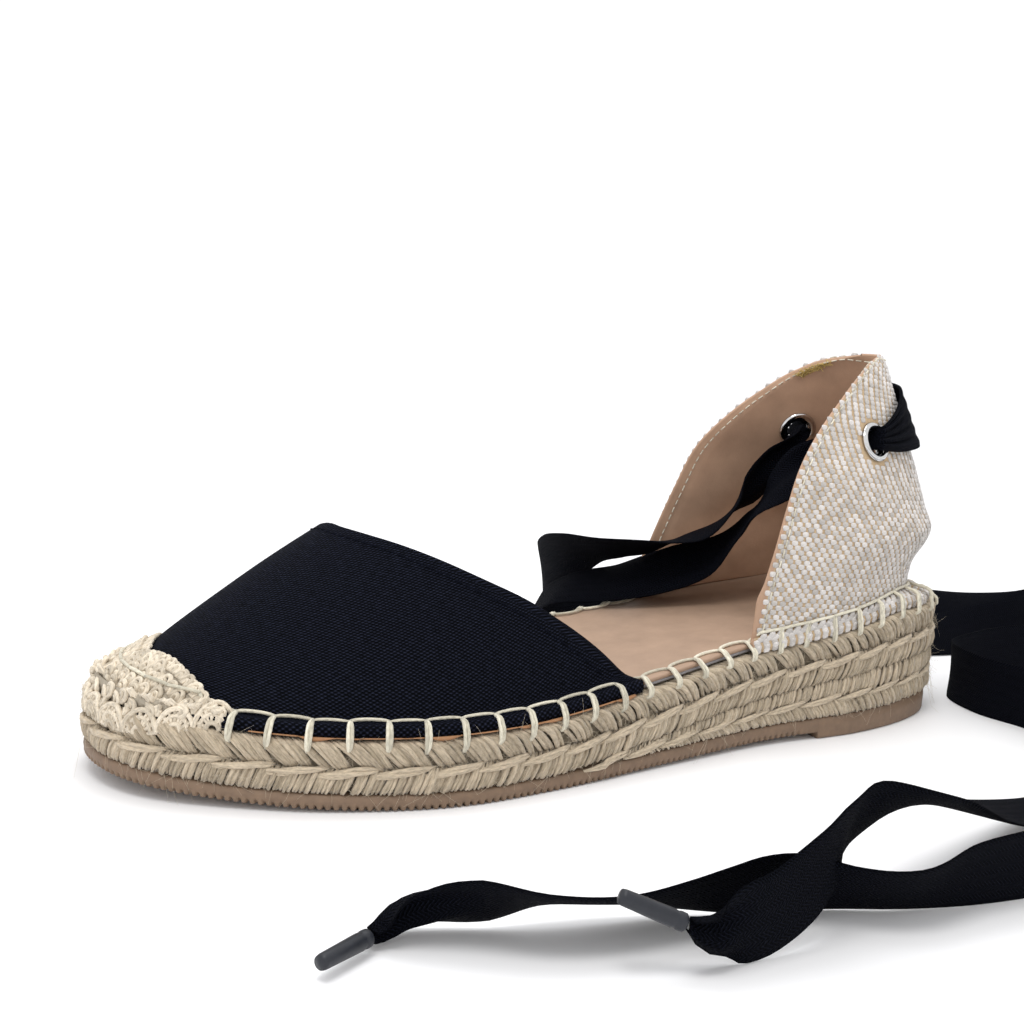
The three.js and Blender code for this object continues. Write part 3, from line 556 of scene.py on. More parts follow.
class Build:
    """Collects grids and tubes of points, and makes them one piece."""

    def __init__(self):
        self.points, self.faces, self.uvs, self.marks, self.tints = [], [], [], [], []
        self.count = 0

    def add(self, points, faces, uvs, mark=0, tint=None):
        points = points.reshape(-1, 3)
        self.points.append(points)
        self.tints.append(np.zeros(len(points)) if tint is None else np.asarray(tint).reshape(-1))
        self.faces += [[i + self.count for i in face] for face in faces]
        self.uvs.append(uvs)
        self.marks += [mark] * len(faces)
        self.count += len(points)

    def grid(self, points, u, v, mark=0, tint=None):
        """A sheet of quads between rows of points, with u and v given at each of them."""
        rows, columns = points.shape[:2]
        index = np.arange(rows * columns).reshape(rows, columns)
        corners = [index[:-1, :-1], index[:-1, 1:], index[1:, 1:], index[1:, :-1]]
        faces = np.stack(corners, -1).reshape(-1, 4)
        uv = np.stack([np.broadcast_to(u, index.shape), np.broadcast_to(v, index.shape)], -1)
        self.add(points, faces.tolist(), uv.reshape(-1, 2)[faces].reshape(-1, 2), mark, tint)

    def tubes(self, paths, outward, wide, tall, sides=8, mark=0, tint=None):
        """Closed tubes: paths is (tubes, steps, 3). wide lies along the surface, tall off it."""
        paths = np.asarray(paths, float)
        count, steps = paths.shape[:2]
        tangent = unit(np.gradient(paths, axis=1))
        outward = np.broadcast_to(outward, paths.shape)
        side = unit(np.cross(tangent, outward))
        up = np.cross(side, tangent)
        wide = np.broadcast_to(wide, (count, steps))[..., None, None]
        tall = np.broadcast_to(tall, (count, steps))[..., None, None]
        turn = 2 * np.pi * np.arange(sides) / sides
        ring = side[:, :, None] * wide * np.cos(turn)[:, None]
        ring = ring + up[:, :, None] * tall * np.sin(turn)[:, None]
        points = paths[:, :, None] + ring
        index = np.arange(count * steps * sides).reshape(count, steps, sides)
        right = np.roll(index, -1, axis=2)
        quads = np.stack([index[:, :-1], index[:, 1:], right[:, 1:], right[:, :-1]], -1)
        caps = [index[:, 0].tolist(), index[:, -1, ::-1].tolist()]
        hop = np.linalg.norm(np.diff(paths, axis=1), axis=2)
        walked = np.concatenate([np.zeros((count, 1)), np.cumsum(hop, axis=1)], axis=1)
        walked = walked + dice.uniform(0, 100, (count, 1))
        low, high = walked[:, :-1, None], walked[:, 1:, None]
        here, there = (np.arange(sides) / sides)[None, None], ((np.arange(sides) + 1) / sides)[None, None]
        shape = quads.shape[:3]
        corner = [(here, low), (here, high), (there, high), (there, low)]
        uv = np.stack(
            [np.stack([np.broadcast_to(a, shape), np.broadcast_to(b, shape)], -1) for a, b in corner], 3
        )
        ends = np.repeat(walked[:, [0, -1]].T.reshape(-1), sides)
        end_uv = np.stack([np.zeros_like(ends), ends], -1)
        faces = quads.reshape(-1, 4).tolist() + caps[0] + caps[1]
        tones = dice.uniform(0, 1, count) if tint is None else np.broadcast_to(tint, (count,))
        tones = np.repeat(tones, steps * sides)
        self.add(points, faces, np.vstack([uv.reshape(-1, 2), end_uv]), mark, tones)

    def bumps(self, centres, across, along, outward, size, mark=0, tint=None, rings=3, sides=8):
        """Low closed domes: size is (half across, half along, height)."""
        half_a, half_b, high = size
        levels = np.linspace(0, 1, rings + 1)[:-1]
        turn = 2 * np.pi * np.arange(sides) / sides
        boxy = 1 / np.maximum(np.abs(np.cos(turn)), np.abs(np.sin(turn))) ** 0.55
        points = []
        for level in levels:
            spread = np.cos(level * np.pi / 2) ** 0.6
            ring = centres[:, None] + across[:, None] * (half_a * spread * boxy * np.cos(turn))[:, None]
            ring = ring + along[:, None] * (half_b * spread * boxy * np.sin(turn))[:, None]
            points.append(ring + outward[:, None] * high * np.sin(level * np.pi / 2))
        sunk = centres - outward * 0.2 * high
        top = centres + outward * high
        block = np.concatenate([*points, top[:, None], sunk[:, None]], axis=1)
        count, size_of = block.shape[:2]
        faces, uvs = [], []
        for k in range(sides):
            n = (k + 1) % sides
            for r in range(rings - 1):
                faces.append([r * sides + k, r * sides + n, (r + 1) * sides + n, (r + 1) * sides + k])
            faces.append([(rings - 1) * sides + k, (rings - 1) * sides + n, rings * sides])
            faces.append([n, k, rings * sides + 1])
        for face in faces:
            uvs += [(i % sides / sides, min(i // sides, rings) / rings) for i in face]
        offsets = np.arange(count) * size_of
        spread_faces = [[i + o for i in face] for o in offsets.tolist() for face in faces]
        tones = dice.uniform(0, 1, count) if tint is None else np.broadcast_to(tint, (count,))
        self.add(block, spread_faces, np.tile(np.array(uvs), (count, 1)), mark, np.repeat(tones, size_of))

    def piece(self, name, materials, weld=None, smooth=True):
        """The finished object, riding on the shoe. weld joins points closer than that, in mm."""
        mesh = bpy.data.meshes.new(name)
        mesh.from_pydata(to_frame(np.vstack(self.points)).tolist(), [], self.faces)
        layer = mesh.uv_layers.new(name="flow")
        layer.data.foreach_set("uv", np.vstack(self.uvs).astype(np.float32).ravel())
        mesh.polygons.foreach_set("material_index", np.array(self.marks, np.int32))
        tone = mesh.attributes.new("tone", "FLOAT", "POINT")
        tone.data.foreach_set("value", np.concatenate(self.tints).astype(np.float32))
        for material in materials:
            mesh.materials.append(material)
        if weld:
            work = bmesh.new()
            work.from_mesh(mesh)
            bmesh.ops.remove_doubles(work, verts=work.verts, dist=weld * MM)
            bmesh.ops.recalc_face_normals(work, faces=work.faces)
            work.to_mesh(mesh)
            work.free()
        mesh.polygons.foreach_set("use_smooth", np.full(len(mesh.polygons), smooth))
        mesh.update()
        made = bpy.data.objects.new(name, mesh)
        bpy.context.scene.collection.objects.link(made)
        return made


def finish_piece(made, *replaced):
    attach(made, "root")
    if replaced:
        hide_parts(*replaced)
    return made


def walked_rows(points):
    """Distance along each row of a grid from its first column."""
    hop = np.linalg.norm(np.diff(points, axis=1), axis=2)
    return np.concatenate([np.zeros((len(points), 1)), np.cumsum(hop, axis=1)], axis=1)


def walked_columns(points):
    return walked_rows(points.transpose(1, 0, 2)).T


# ---------------------------------------------------------------- finishes


class Finish:
    """A material built from nodes. Colours are linear."""

    def __init__(self, name, roughness=0.9, metallic=0.0, sheen=0.0, specular=0.3):
        self.material = bpy.data.materials.new(name)
        self.material.use_nodes = True
        self.nodes = self.material.node_tree.nodes
        self.links = self.material.node_tree.links
        self.shader = self.nodes["Principled BSDF"]
        self.shader.inputs["Roughness"].default_value = roughness
        self.shader.inputs["Metallic"].default_value = metallic
        self.shader.inputs["Sheen Weight"].default_value = sheen
        self.shader.inputs["Sheen Roughness"].default_value = 0.5
        self.shader.inputs["Specular IOR Level"].default_value = specular
        self.flow = self.node("ShaderNodeUVMap", uv_map="flow").outputs["UV"]
        self.place = self.node("ShaderNodeTexCoord").outputs["Object"]

    def node(self, kind, **settings):
        made = self.nodes.new(kind)
        for key, value in settings.items():
            setattr(made, key, value)
        return made

    def feed(self, socket, value):
        if isinstance(value, bpy.types.NodeSocket):
            self.links.new(value, socket)
        else:
            socket.default_value = value

    def sum(self, operation, *values):
        made = self.node("ShaderNodeMath", operation=operation)
        for socket, value in zip(made.inputs, values):
            self.feed(socket, value)
        return made.outputs[0]

    def wave(self, value, pitch, phase=0.0):
        """A sine of the value, with that pitch."""
        return self.sum("SINE", self.sum("MULTIPLY_ADD", value, 2 * math.pi / pitch, phase))

    def split(self, vector):
        made = self.node("ShaderNodeSeparateXYZ")
        self.links.new(vector, made.inputs[0])
        return made.outputs

    def noise(self, vector, scale, size=(1, 1, 1), detail=4.0, rough=0.6):
        mapping = self.node("ShaderNodeMapping")
        mapping.inputs["Scale"].default_value = size
        self.links.new(vector, mapping.inputs["Vector"])
        made = self.node("ShaderNodeTexNoise")
        made.inputs["Scale"].default_value = scale
        made.inputs["Detail"].default_value = detail
        made.inputs["Roughness"].default_value = rough
        self.links.new(mapping.outputs[0], made.inputs["Vector"])
        return made.outputs["Fac"]

    def tone(self):
        return self.node("ShaderNodeAttribute", attribute_name="tone").outputs["Fac"]

    def ramp(self, value, *stops):
        """Colours by value: stops are (position, colour)."""
        made = self.node("ShaderNodeValToRGB")
        band = made.color_ramp
        while len(band.elements) < len(stops):
            band.elements.new(0.5)
        for element, (position, colour) in zip(band.elements, stops):
            element.position = position
            element.color = (*colour, 1)
        self.links.new(value, made.inputs["Fac"])
        return made.outputs["Color"]

    def blend(self, amount, first, second, mode="MIX"):
        made = self.node("ShaderNodeMix", data_type="RGBA", blend_type=mode)
        self.feed(made.inputs["Factor"], amount)
        for socket, value in ((made.inputs[6], first), (made.inputs[7], second)):
            self.feed(socket, (*value, 1) if isinstance(value, tuple) else value)
        return made.outputs[2]

    def colour(self, value):
        self.feed(self.shader.inputs["Base Color"], (*value, 1) if isinstance(value, tuple) else value)
        return self

    def bump(self, height, distance, strength=1.0):
        made = self.node("ShaderNodeBump")
        made.inputs["Strength"].default_value = strength
        made.inputs["Distance"].default_value = distance * MM
        self.links.new(height, made.inputs["Height"])
        before = self.shader.inputs["Normal"].links
        if before:
            self.links.new(before[0].from_socket, made.inputs["Normal"])
        self.links.new(made.outputs[0], self.shader.inputs["Normal"])
        return self


def shade(colour, by):
    return tuple(min(1.0, c * by) for c in colour)


JUTE = (0.475, 0.395, 0.292)
COTTON = (0.66, 0.58, 0.465)
THREAD = (0.64, 0.60, 0.49)
LINING = (0.46, 0.295, 0.2)
INK = (0.0029, 0.0034, 0.0062)
RUBBER = (0.2, 0.132, 0.086)


def yarn(name, colour, twist, roughness=0.95, fibre=0.1, lean=1.0):
    """Twisted fibre, on tubes whose flow runs round and along them."""
    made = Finish(name, roughness, sheen=0.25, specular=0.15)
    fibres = made.noise(made.flow, 1.0, (7.0, 0.5, 1), detail=5, rough=0.65)
    flow = made.split(made.flow)
    plies = made.wave(made.sum("MULTIPLY_ADD", flow[0], lean * twist, flow[1]), twist)
    streak = made.ramp(
        fibres, (0.26, shade(colour, 0.55)), (0.48, shade(colour, 0.95)), (0.74, shade(colour, 1.3))
    )
    strand = made.ramp(made.tone(), (0, (0.78, 0.77, 0.75)), (1, (1.2, 1.2, 1.2)))
    made.colour(made.blend(1.0, streak, strand, "MULTIPLY"))
    made.bump(fibres, fibre * 2.4)
    made.bump(plies, fibre)
    return made.material


def jute_core_painted_shade():
    made = Finish("jute_core_painted_shade", 1.0, specular=0.05)
    lumps = made.noise(made.place, 900, detail=5)
    # A darker copy of the jute, 0.3 to 0.62 of its colour: painted shade where the strands part.
    made.colour(made.ramp(lumps, (0.3, shade(JUTE, 0.3)), (0.7, shade(JUTE, 0.62))))
    made.bump(lumps, 0.5)
    return made.material


def canvas():
    """Fine black canvas, with a painted highlight on its weave's crests. Its flow is in millimetres along
    and across the cloth.
    """
    made = Finish("canvas", 0.9, specular=0.05)
    flow = made.split(made.flow)
    warp, weft = made.wave(flow[0], 1.5), made.wave(flow[1], 1.3)
    weave = made.sum("MULTIPLY", warp, weft)
    slub = made.noise(made.flow, 1.0, (0.5, 2.2, 1), detail=4)
    level = made.sum("MULTIPLY_ADD", weave, 0.36, slub)
    # The weave's crests are painted up to 6.5 times lighter than the ink, as a painted highlight on each
    # crest; the slub noise is the cloth's own uneven tone.
    slub_and_painted_highlight = made.ramp(level, (0.3, shade(INK, 0.3)), (0.55, shade(INK, 1.2)), (0.85, shade(INK, 6.5)))
    made.colour(slub_and_painted_highlight)
    made.bump(weave, 0.2)
    made.bump(slub, 0.15)
    return made.material


def tape(name="tape"):
    """Black twill tape: flow runs across in millimetres and along."""
    made = Finish(name, 0.85, specular=0.04)
    flow = made.split(made.flow)
    stripe = made.sum("PINGPONG", flow[0], 1.5)
    twill = made.wave(made.sum("MULTIPLY_ADD", stripe, 1.1, flow[1]), 0.95)
    ribs = made.wave(flow[0], 0.75)
    grain = made.noise(made.flow, 1.0, (3, 3, 1), detail=3)
    level = made.sum("MULTIPLY_ADD", twill, 0.2, grain)
    made.colour(made.ramp(level, (0.3, shade(INK, 0.5)), (0.6, INK), (0.85, shade(INK, 3.2))))
    made.bump(twill, 0.16)
    made.bump(ribs, 0.05)
    return made.material


def lining_cloth(name="lining", colour=LINING):
    made = Finish(name, 0.62, sheen=0.05, specular=0.3)
    mottle = made.noise(made.place, 120, detail=6)
    pores = made.noise(made.place, 2600, detail=2)
    made.colour(made.ramp(mottle, (0.3, shade(colour, 0.9)), (0.7, shade(colour, 1.1))))
    made.bump(pores, 0.05)
    made.bump(mottle, 0.15)
    return made.material


def plain(name, colour, roughness, grain=1200, depth=0.05, metallic=0.0, specular=0.4):
    made = Finish(name, roughness, metallic, specular=specular)
    mottle = made.noise(made.place, grain, detail=3)
    made.colour(made.ramp(mottle, (0.3, shade(colour, 0.88)), (0.7, shade(colour, 1.12))))
    made.bump(mottle, depth)
    return made.material


# ---------------------------------------------------------------- camera, floor and light

CAMERA_TARGET = (144.2, 0.0, 62.4)
CAMERA_DISTANCE = 350.0
CAMERA_AZIMUTH, CAMERA_ELEVATION, CAMERA_ROLL = 25.303, 8.566, 2.394  # degrees; 0 looks along -y
CAMERA_LENS = 45.44


def add_camera():
    data = bpy.data.cameras.new("camera")
    data.lens, data.sensor_width = CAMERA_LENS, 36
    data.clip_start, data.clip_end = 0.01, 20
    camera = bpy.data.objects.new("camera", data)
    bpy.context.scene.collection.objects.link(camera)
    around, above = math.radians(CAMERA_AZIMUTH), math.radians(CAMERA_ELEVATION)
    back = Vector(
        (math.sin(around) * math.cos(above), math.cos(around) * math.cos(above), math.sin(above))
    )
    camera.location = Vector(to_frame(CAMERA_TARGET)) + back * CAMERA_DISTANCE * MM
    camera.rotation_mode = "QUATERNION"
    roll = Quaternion((0, 0, 1), math.radians(CAMERA_ROLL))
    camera.rotation_quaternion = (-back).to_track_quat("-Z", "Y") @ roll
    bpy.context.scene.camera = camera


# Soft lights: place in millimetres, size in millimetres, power in watts.
LIGHTS = (
    {"name": "key", "place": (330, 240, 700), "size": 260, "power": 1.6, "colour": (1, 0.99, 0.97)},
    {"name": "top", "place": (60, -160, 800), "size": 420, "power": 1.4, "colour": (0.97, 0.985, 1)},
)
WORLD_LIGHT = 1.1


def add_lights():
    aim = Vector(to_frame((130, 0, 40)))
    for row in LIGHTS:
        data = bpy.data.lights.new(row["name"], "AREA")
        data.shape, data.size = "DISK", row["size"] * MM
        data.energy, data.color = row["power"], row["colour"]
        lamp = bpy.data.objects.new(row["name"], data)
        bpy.context.scene.collection.objects.link(lamp)
        lamp.location = Vector(to_frame(row["place"]))
        lamp.rotation_mode = "QUATERNION"
        lamp.rotation_quaternion = (aim - lamp.location).to_track_quat("-Z", "Y")
    world = bpy.data.worlds.new("studio")
    world.use_nodes = True
    world.node_tree.nodes["Background"].inputs["Color"].default_value = (1, 1, 1, 1)
    world.node_tree.nodes["Background"].inputs["Strength"].default_value = WORLD_LIGHT
    bpy.context.scene.world = world
    bpy.context.scene.view_settings.view_transform = "Standard"
    bpy.context.scene.view_settings.look = "None"


def add_floor():
    mesh = bpy.data.meshes.new("floor")
    reach = 12.0
    corners = [(-reach, -reach, 0), (reach, -reach, 0), (reach, reach, 0), (-reach, reach, 0)]
    mesh.from_pydata(corners, [], [(0, 1, 2, 3)])
    made = Finish("floor", 0.6, specular=0.15)
    made.colour((0.93, 0.93, 0.945))
    mesh.materials.append(made.material)
    floor = bpy.data.objects.new("floor", mesh)
    bpy.context.scene.collection.objects.link(floor)


# ---------------------------------------------------------------- ribbons and aglets


class Ribbon:
    """A smooth line through a lace's table, with the ribbon's own directions at each share of it."""

    def __init__(self, rows):
        spots = np.stack([rows["x"], rows["y"], rows["z"]], -1)
        hop = np.linalg.norm(np.diff(spots, axis=0), axis=1)
        at = np.concatenate([[0], np.cumsum(hop)])
        placed = dict(rows, at=at)
        self.reach = at[-1]
        self.rows = len(at)
        self.columns = {c: through(placed, "at", c) for c in LACE_COLUMNS.split()}

    def column(self, name, share):
        return self.columns[name](np.asarray(share) * self.reach)

    def point(self, share):
        return np.stack([self.column(c, share) for c in "xyz"], -1)

    def frame(self, share):
        step = 0.05 / self.rows
        along = unit(self.point(share + step) - self.point(share - step))
        turn = np.radians(self.column("lean", share))[..., None]
        upright = np.array([0.0, 0.0, 1.0])
        left = unit(np.cross(upright, along))
        wide = upright * np.cos(turn) + left * np.sin(turn)
        wide = unit(wide - along * (wide * along).sum(-1, keepdims=True))
        return along, wide, np.cross(along, wide)


def ribbon_piece(name, rows, nodes):
    line = Ribbon(rows)
    steps, lanes = 420, 12
    share = np.linspace(0, 1, steps + 1)
    _, wide, thin = line.frame(share)
    middle = line.point(share)
    width = np.minimum(line.column("width", share), RIBBON_WIDTH)
    hop = np.linalg.norm(np.diff(middle, axis=0), axis=1)
    walked = np.concatenate([[0], np.cumsum(hop)])
    across = np.linspace(-1, 1, lanes + 1)
    gathered = np.clip(1 - width / RIBBON_WIDTH, 0, 1)
    pleat = 1.9 * np.sin(np.pi * gathered) ** 0.8 * (gathered > 0.01)
    sway = 0.55 * np.sin(walked / 23.0) + 0.35 * np.sin(walked / 9.1 + 1.3)
    cup = sway[:, None] * (1 - across**2)[None] * (1 - gathered)[:, None]
    fold = cup + pleat[:, None] * np.sin(across * np.pi * 1.5)[None]
    centre = middle[:, None] + wide[:, None] * (across[None, :, None] * width[:, None, None] / 2)
    centre = centre + thin[:, None] * fold[..., None]
    half = RIBBON_THICK / 2 * 0.85
    edge_thin = np.sqrt(np.clip(1 - np.abs(across) ** 8, 0.15, 1))
    front = centre + thin[:, None] * (half * edge_thin)[None, :, None]
    rear = centre - thin[:, None] * (half * edge_thin)[None, :, None]
    lowest = np.minimum(front[..., 2], rear[..., 2]).min(axis=1)
    lift = np.maximum(0, FLOOR_CLEAR - lowest)
    front[..., 2] += lift[:, None]
    rear[..., 2] += lift[:, None]
    build = Build()
    flat = across * RIBBON_WIDTH / 2
    build.grid(front, flat[None], walked[:, None])
    build.grid(rear[:, ::-1], flat[::-1][None], walked[:, None])
    for column in (0, -1):
        rim = np.stack([rear[:, column], front[:, column]], 1)
        build.grid(rim, np.array([[flat[column], flat[column] + 1]]), walked[:, None])
    for row in (0, -1):
        rim = np.stack([front[row], rear[row]], 1)
        build.grid(rim, flat[:, None], np.array([[walked[row], walked[row] + 1]]))
    made = build.piece(name, [black_tape], weld=0.01)
    middle[:, 2] += lift
    finish_piece(made, nodes)
    path = [to_frame(p).tolist() for p in line.point(np.linspace(0, 1, 40)) + (0, 0, 0.1)]
    return line


def aglet_piece(name, rows, node):
    """A crimped plastic tip: a lathe profile along the ribbon's end."""
    line = Ribbon(rows)
    along = line.frame(np.array([1.0]))[0][0]
    start = line.point(np.array([1.0]))[0] + along * GAP
    profile = np.array(
        [
            (0, 0.0),
            (0.6, 1.45),
            (0.9, 1.72),
            (2.0, 1.74),
            (2.3, 1.6),
            (2.9, 1.6),
            (3.2, 1.72),
            (13, 1.5),
            (13.7, 1.35),
            (14, 0.0),
        ]
    )
    sides = 28
    turn = np.linspace(0, 2 * np.pi, sides + 1)
    side = unit(np.cross(along, (0, 0, 1)))
    up = np.cross(side, along)
    ring = side * np.cos(turn)[:, None] + up * np.sin(turn)[:, None]
    points = start + along * profile[:, :1][:, None] + ring[None] * profile[:, 1:][:, None]
    build = Build()
    build.grid(points, turn[None], profile[:, :1])
    made = build.piece(name, [aglet_plastic], weld=0.01)
    return finish_piece(made, node)


# ---------------------------------------------------------------- the rubber sole


def outsole_piece():
    """The rubber, with fine teeth round its lower edge in front of the heel block."""
    steps = 2600
    s = np.linspace(0, edge.length, steps + 1)
    x = edge.x(s)
    heelward = np.clip((0.3 - share_of(x)) / 0.3, 0, 1)
    inset = mix(RUBBER_INSET, RUBBER_HEEL_INSET, heelward)
    toothed = ease((x - BREAST_X - 4) / 6)
    tooth = toothed * (0.5 + 0.5 * np.sin(2 * np.pi * s / 1.95)) ** 2.5
    low, high = floor_z(x), rubber_top(x)
    level = [
        (inset + 26, low),
        (inset + 3.0, low),
        (inset + 0.75 + 0.9 * tooth, low + 0.05 + 0.3 * tooth),
        (inset + 0.15 + 1.1 * tooth, low + 0.3 + 0.45 * tooth),
        (inset + 0.8 * tooth, low + 0.75 + 0.35 * tooth),
        (inset + 0.1 * tooth, low + 1.35),
        (inset, low + 1.9),
        (inset - 0.12, mix(low, high, 0.6)),
        (inset + 0.1, high - 0.4),
        (inset + 0.7, high),
        (inset + 6, high - 0.05),
        (inset + 24, high - 0.1),
    ]
    rows = np.array([edge.skin(s, z, -depth) for depth, z in level])
    build = Build()
    heights = np.arange(len(level)) * 1.0
    build.grid(rows.transpose(1, 0, 2), heights[None], s[:, None])
    for row, turned in ((rows[0], False), (rows[-1], True)):
        middle = row.copy()
        middle[:, 1] = 0.35 * row[:, 1].mean()
        strip = np.stack([row, middle] if turned else [middle, row], 1)
        build.grid(strip, np.array([[0.0, 1.0]]), s[:, None])
    made = build.piece("rubber_sole", [rubber], weld=0.02)
    return finish_piece(made, "outsole")


# ---------------------------------------------------------------- the braided jute


def core_piece(name, under, over, x_end, node, inset):
    """The inside of a braid, just under its strands, coloured as a darker copy of the jute: painted shade
    between the strands.
    """
    steps = 260
    s = np.linspace(0, edge.length, steps + 1)
    x = edge.x(s)
    low, high = under(x), over(x)
    level = [(inset + 14, low + 0.1), (inset + 0.8, low + 0.1), (inset, mix(low, high, 0.2))]
    level += [(inset, mix(low, high, 0.8)), (inset + 0.9, high - 0.5), (inset + 14, high - 0.5)]
    rows = np.array([edge.skin(s, np.maximum(z, low), -drawn_in(d)(share_of(x))) for d, z in level])
    build = Build()
    keep = x < x_end
    s_grid = rows.transpose(1, 0, 2)
    if keep.all():
        build.grid(s_grid, np.arange(6.0)[None], s[:, None])
        for row in (rows[0], rows[-1]):
            middle = row * (1, 0, 1)
            build.grid(np.stack([row, middle], 1), np.array([[0.0, 1.0]]), s[:, None])
    else:
        half = steps // 2
        order = np.concatenate([np.arange(half, steps), np.arange(0, half + 1)])
        order = order[keep[order]]
        rows = rows[:, order]
        build.grid(rows.transpose(1, 0, 2), np.arange(6.0)[None], s[order][:, None])
        for row in (rows[0], rows[-1]):
            middle = row * (1, 0, 1)
            build.grid(np.stack([row, middle], 1), np.array([[0.0, 1.0]]), s[order][:, None])
    made = build.piece(name, [jute_inside_painted_shade], weld=0.01)
    return finish_piece(made, node)


def strand_row(build, first, pitch, count, lean, span, depth, radius, steps=7, sides=6, rough=0.12, mark=0):
    """A row of short strands side by side round the sole.

    span gives their low and high ends as functions of x, lean how far the high end lies on past the
    low one, depth their distance out at shares of their length, and radius their half thickness.
    """
    start = first + pitch * np.arange(count) + dice.normal(0, rough * pitch, count)
    t = np.linspace(0, 1, steps)
    x0 = edge.x(start)
    low, high = span[0](x0), span[1](x0)
    tall = high - low
    keep = tall > 1.1
    start, low, tall = start[keep], low[keep], tall[keep]
    count = len(start)
    shrink = np.clip(tall / 3.6, 0.45, 1)
    swing = lean * shrink * dice.uniform(0.85, 1.15, count)
    s = start[:, None] + swing[:, None] * t[None] + dice.normal(0, 0.12, (count, 1)) * np.sin(np.pi * t)
    z = low[:, None] + tall[:, None] * t[None]
    out = np.interp(t, *depth)[None] * shrink[:, None] + dice.normal(0, rough, (count, 1))
    follow = edge.x(s) - edge.x(start)[:, None]
    slope = (jute_top(edge.x(s)) - jute_top(edge.x(start))[:, None]) * np.clip(np.abs(follow), 0, 1)
    paths = edge.skin(s, z + slope * 0.8, out)
    outward = np.concatenate([edge.normal(s), np.full((*s.shape, 1), 0.15)], -1)
    taper = np.sin(np.pi * np.clip(mix(0.12, 0.9, t), 0, 1)) ** 0.55
    girth = radius * shrink[:, None] * taper[None] * dice.uniform(0.88, 1.14, (count, 1))
    build.tubes(paths, outward, girth, girth * 1.05, sides, mark)


def top_bundles(build, pitch, phase, low, high, lean, wrap=3.0, strands=9):
    """The braid's upper row: broad bundles that come from under the upper and dive below the chain."""
    count = int(edge.length / pitch)
    pitch = edge.length / count
    t = np.linspace(0, 1, 11)
    for j in range(strands):
        spot = (j - (strands - 1) / 2) / strands
        start = phase + pitch * np.arange(count) + dice.normal(0, 0.3, count)
        x0 = edge.x(start)
        z_low = low(x0)
        foot = start + spot * pitch * 0.74
        head = start + lean + spot * pitch * 1.02
        s = foot[:, None] + (head - foot)[:, None] * t[None] ** 0.9
        s = s + 0.5 * np.sin(np.pi * t)[None] * spot
        s = s + dice.normal(0, 0.35, (count, 1)) * np.sin(np.pi * t + dice.uniform(-0.8, 0.8, (count, 1)))
        rise = np.sin(np.clip(t / 0.8, 0, 1) * np.pi / 2) ** 1.05
        local_high = high(edge.x(s))
        z = z_low[:, None] + (local_high - z_low[:, None] - 0.75) * rise[None]
        crown = 0.75 * np.cos(spot * np.pi * 0.9)
        out = np.interp(t, (0, 0.15, 0.45, 0.7, 0.82, 1), (-1.7, -0.9, -0.55, -0.85, -1.5, -1.5 - wrap))
        out = out[None] + crown * np.sin(np.pi * np.clip(t / 0.85, 0, 1))[None] - 0.15
        out = out + dice.normal(0, 0.2, (count, 1))
        toe_in = drawn_in(0.0)(share_of(edge.x(s))) * rise
        paths = edge.skin(s, z, out - toe_in)
        normal = np.concatenate([edge.normal(s), np.zeros((*s.shape, 1))], -1)
        over = np.clip((t - 0.6) / 0.3, 0, 1)[None, :, None]
        outward = unit(normal * (1 - over) + np.array([0, 0, 1.0]) * over)
        taper = 0.55 + 0.45 * np.sin(np.pi * np.clip(t * 0.9 + 0.1, 0, 1)) ** 0.6
        girth = 0.63 * taper[None] * dice.uniform(0.8, 1.2, (count, 1))
        build.tubes(paths, outward, girth, girth, 6)


def chain(build, pitch, phase, level, x_end=LENGTH + 1, size=1.0):
    """The plait between a braid's rows: long links of three plies, each tucked under the next."""
    count = int(edge.length / pitch)
    pitch = edge.length / count
    start = phase + pitch * np.arange(count)
    start = start[edge.x(start) < x_end]
    count = len(start)
    t = np.linspace(0, 1, 16)
    turn0 = dice.uniform(0, 2 * np.pi, (count, 1))
    shift = dice.normal(0, 0.25, (count, 1))
    for ply in range(3):
        turn = turn0 + 2 * np.pi * (ply / 3 + 0.55 * t[None])
        reach = pitch * 1.28
        s = start[:, None] + shift + reach * (1 - t)[None]
        spread = 0.62 * size * np.sin(np.pi * np.clip(t, 0.02, 0.98)) ** 0.5
        z = level(edge.x(s)) + mix(-1.0, 1.15, ease(t))[None] * size
        z = z + spread * np.cos(turn) + dice.normal(0, 0.12, (count, 1))
        out = mix(-0.75, 0.35, np.sin(np.pi * np.clip(t * 0.8 + 0.1, 0, 1)))[None] * size
        out = out + 0.6 * spread * np.sin(turn) - 0.8 * np.clip((t - 0.85) / 0.15, 0, 1)[None]
        paths = edge.skin(s, z, out - 0.25)
        outward = np.concatenate([edge.normal(s), np.zeros((*s.shape, 1))], -1)
        taper = (np.sin(np.pi * np.clip(mix(0.07, 0.96, t), 0, 1)) ** 0.5)[None]
        girth = 0.78 * size * taper * dice.uniform(0.92, 1.1, (count, 1))
        build.tubes(paths, outward, girth, girth, 8, tint=dice.uniform(0.75, 1.0, count))


def braid_level(share, under=braid_under, over=jute_top):
    return lambda x: mix(under(x), over(x), share)


def upper_braid():
    build = Build()
    count = int(edge.length / 1.02)
    for layer, depth in ((0, -0.35), (0.5, 0.0)):
        strand_row(
            build,
            layer,
            edge.length / count,
            count,
            -2.6,
            (braid_level(0.0), braid_level(0.47)),
            ((0, 0.12, 0.5, 0.85, 1), (depth - 0.9, depth - 0.5, depth - 0.25, depth - 0.6, depth - 1.2)),
            0.56,
            rough=0.3,
        )
    bundles = Build()
    top_bundles(bundles, BUNDLE_PITCH, 2.0, braid_level(0.44), braid_level(1.0), 8.6)
    chain(build, CHAIN_PITCH, 0.0, braid_level(0.4), size=0.8)
    finish_piece(bundles.piece("braid_bundles", [jute_yarn]))
    return finish_piece(build.piece("braid_strands", [jute_yarn]))


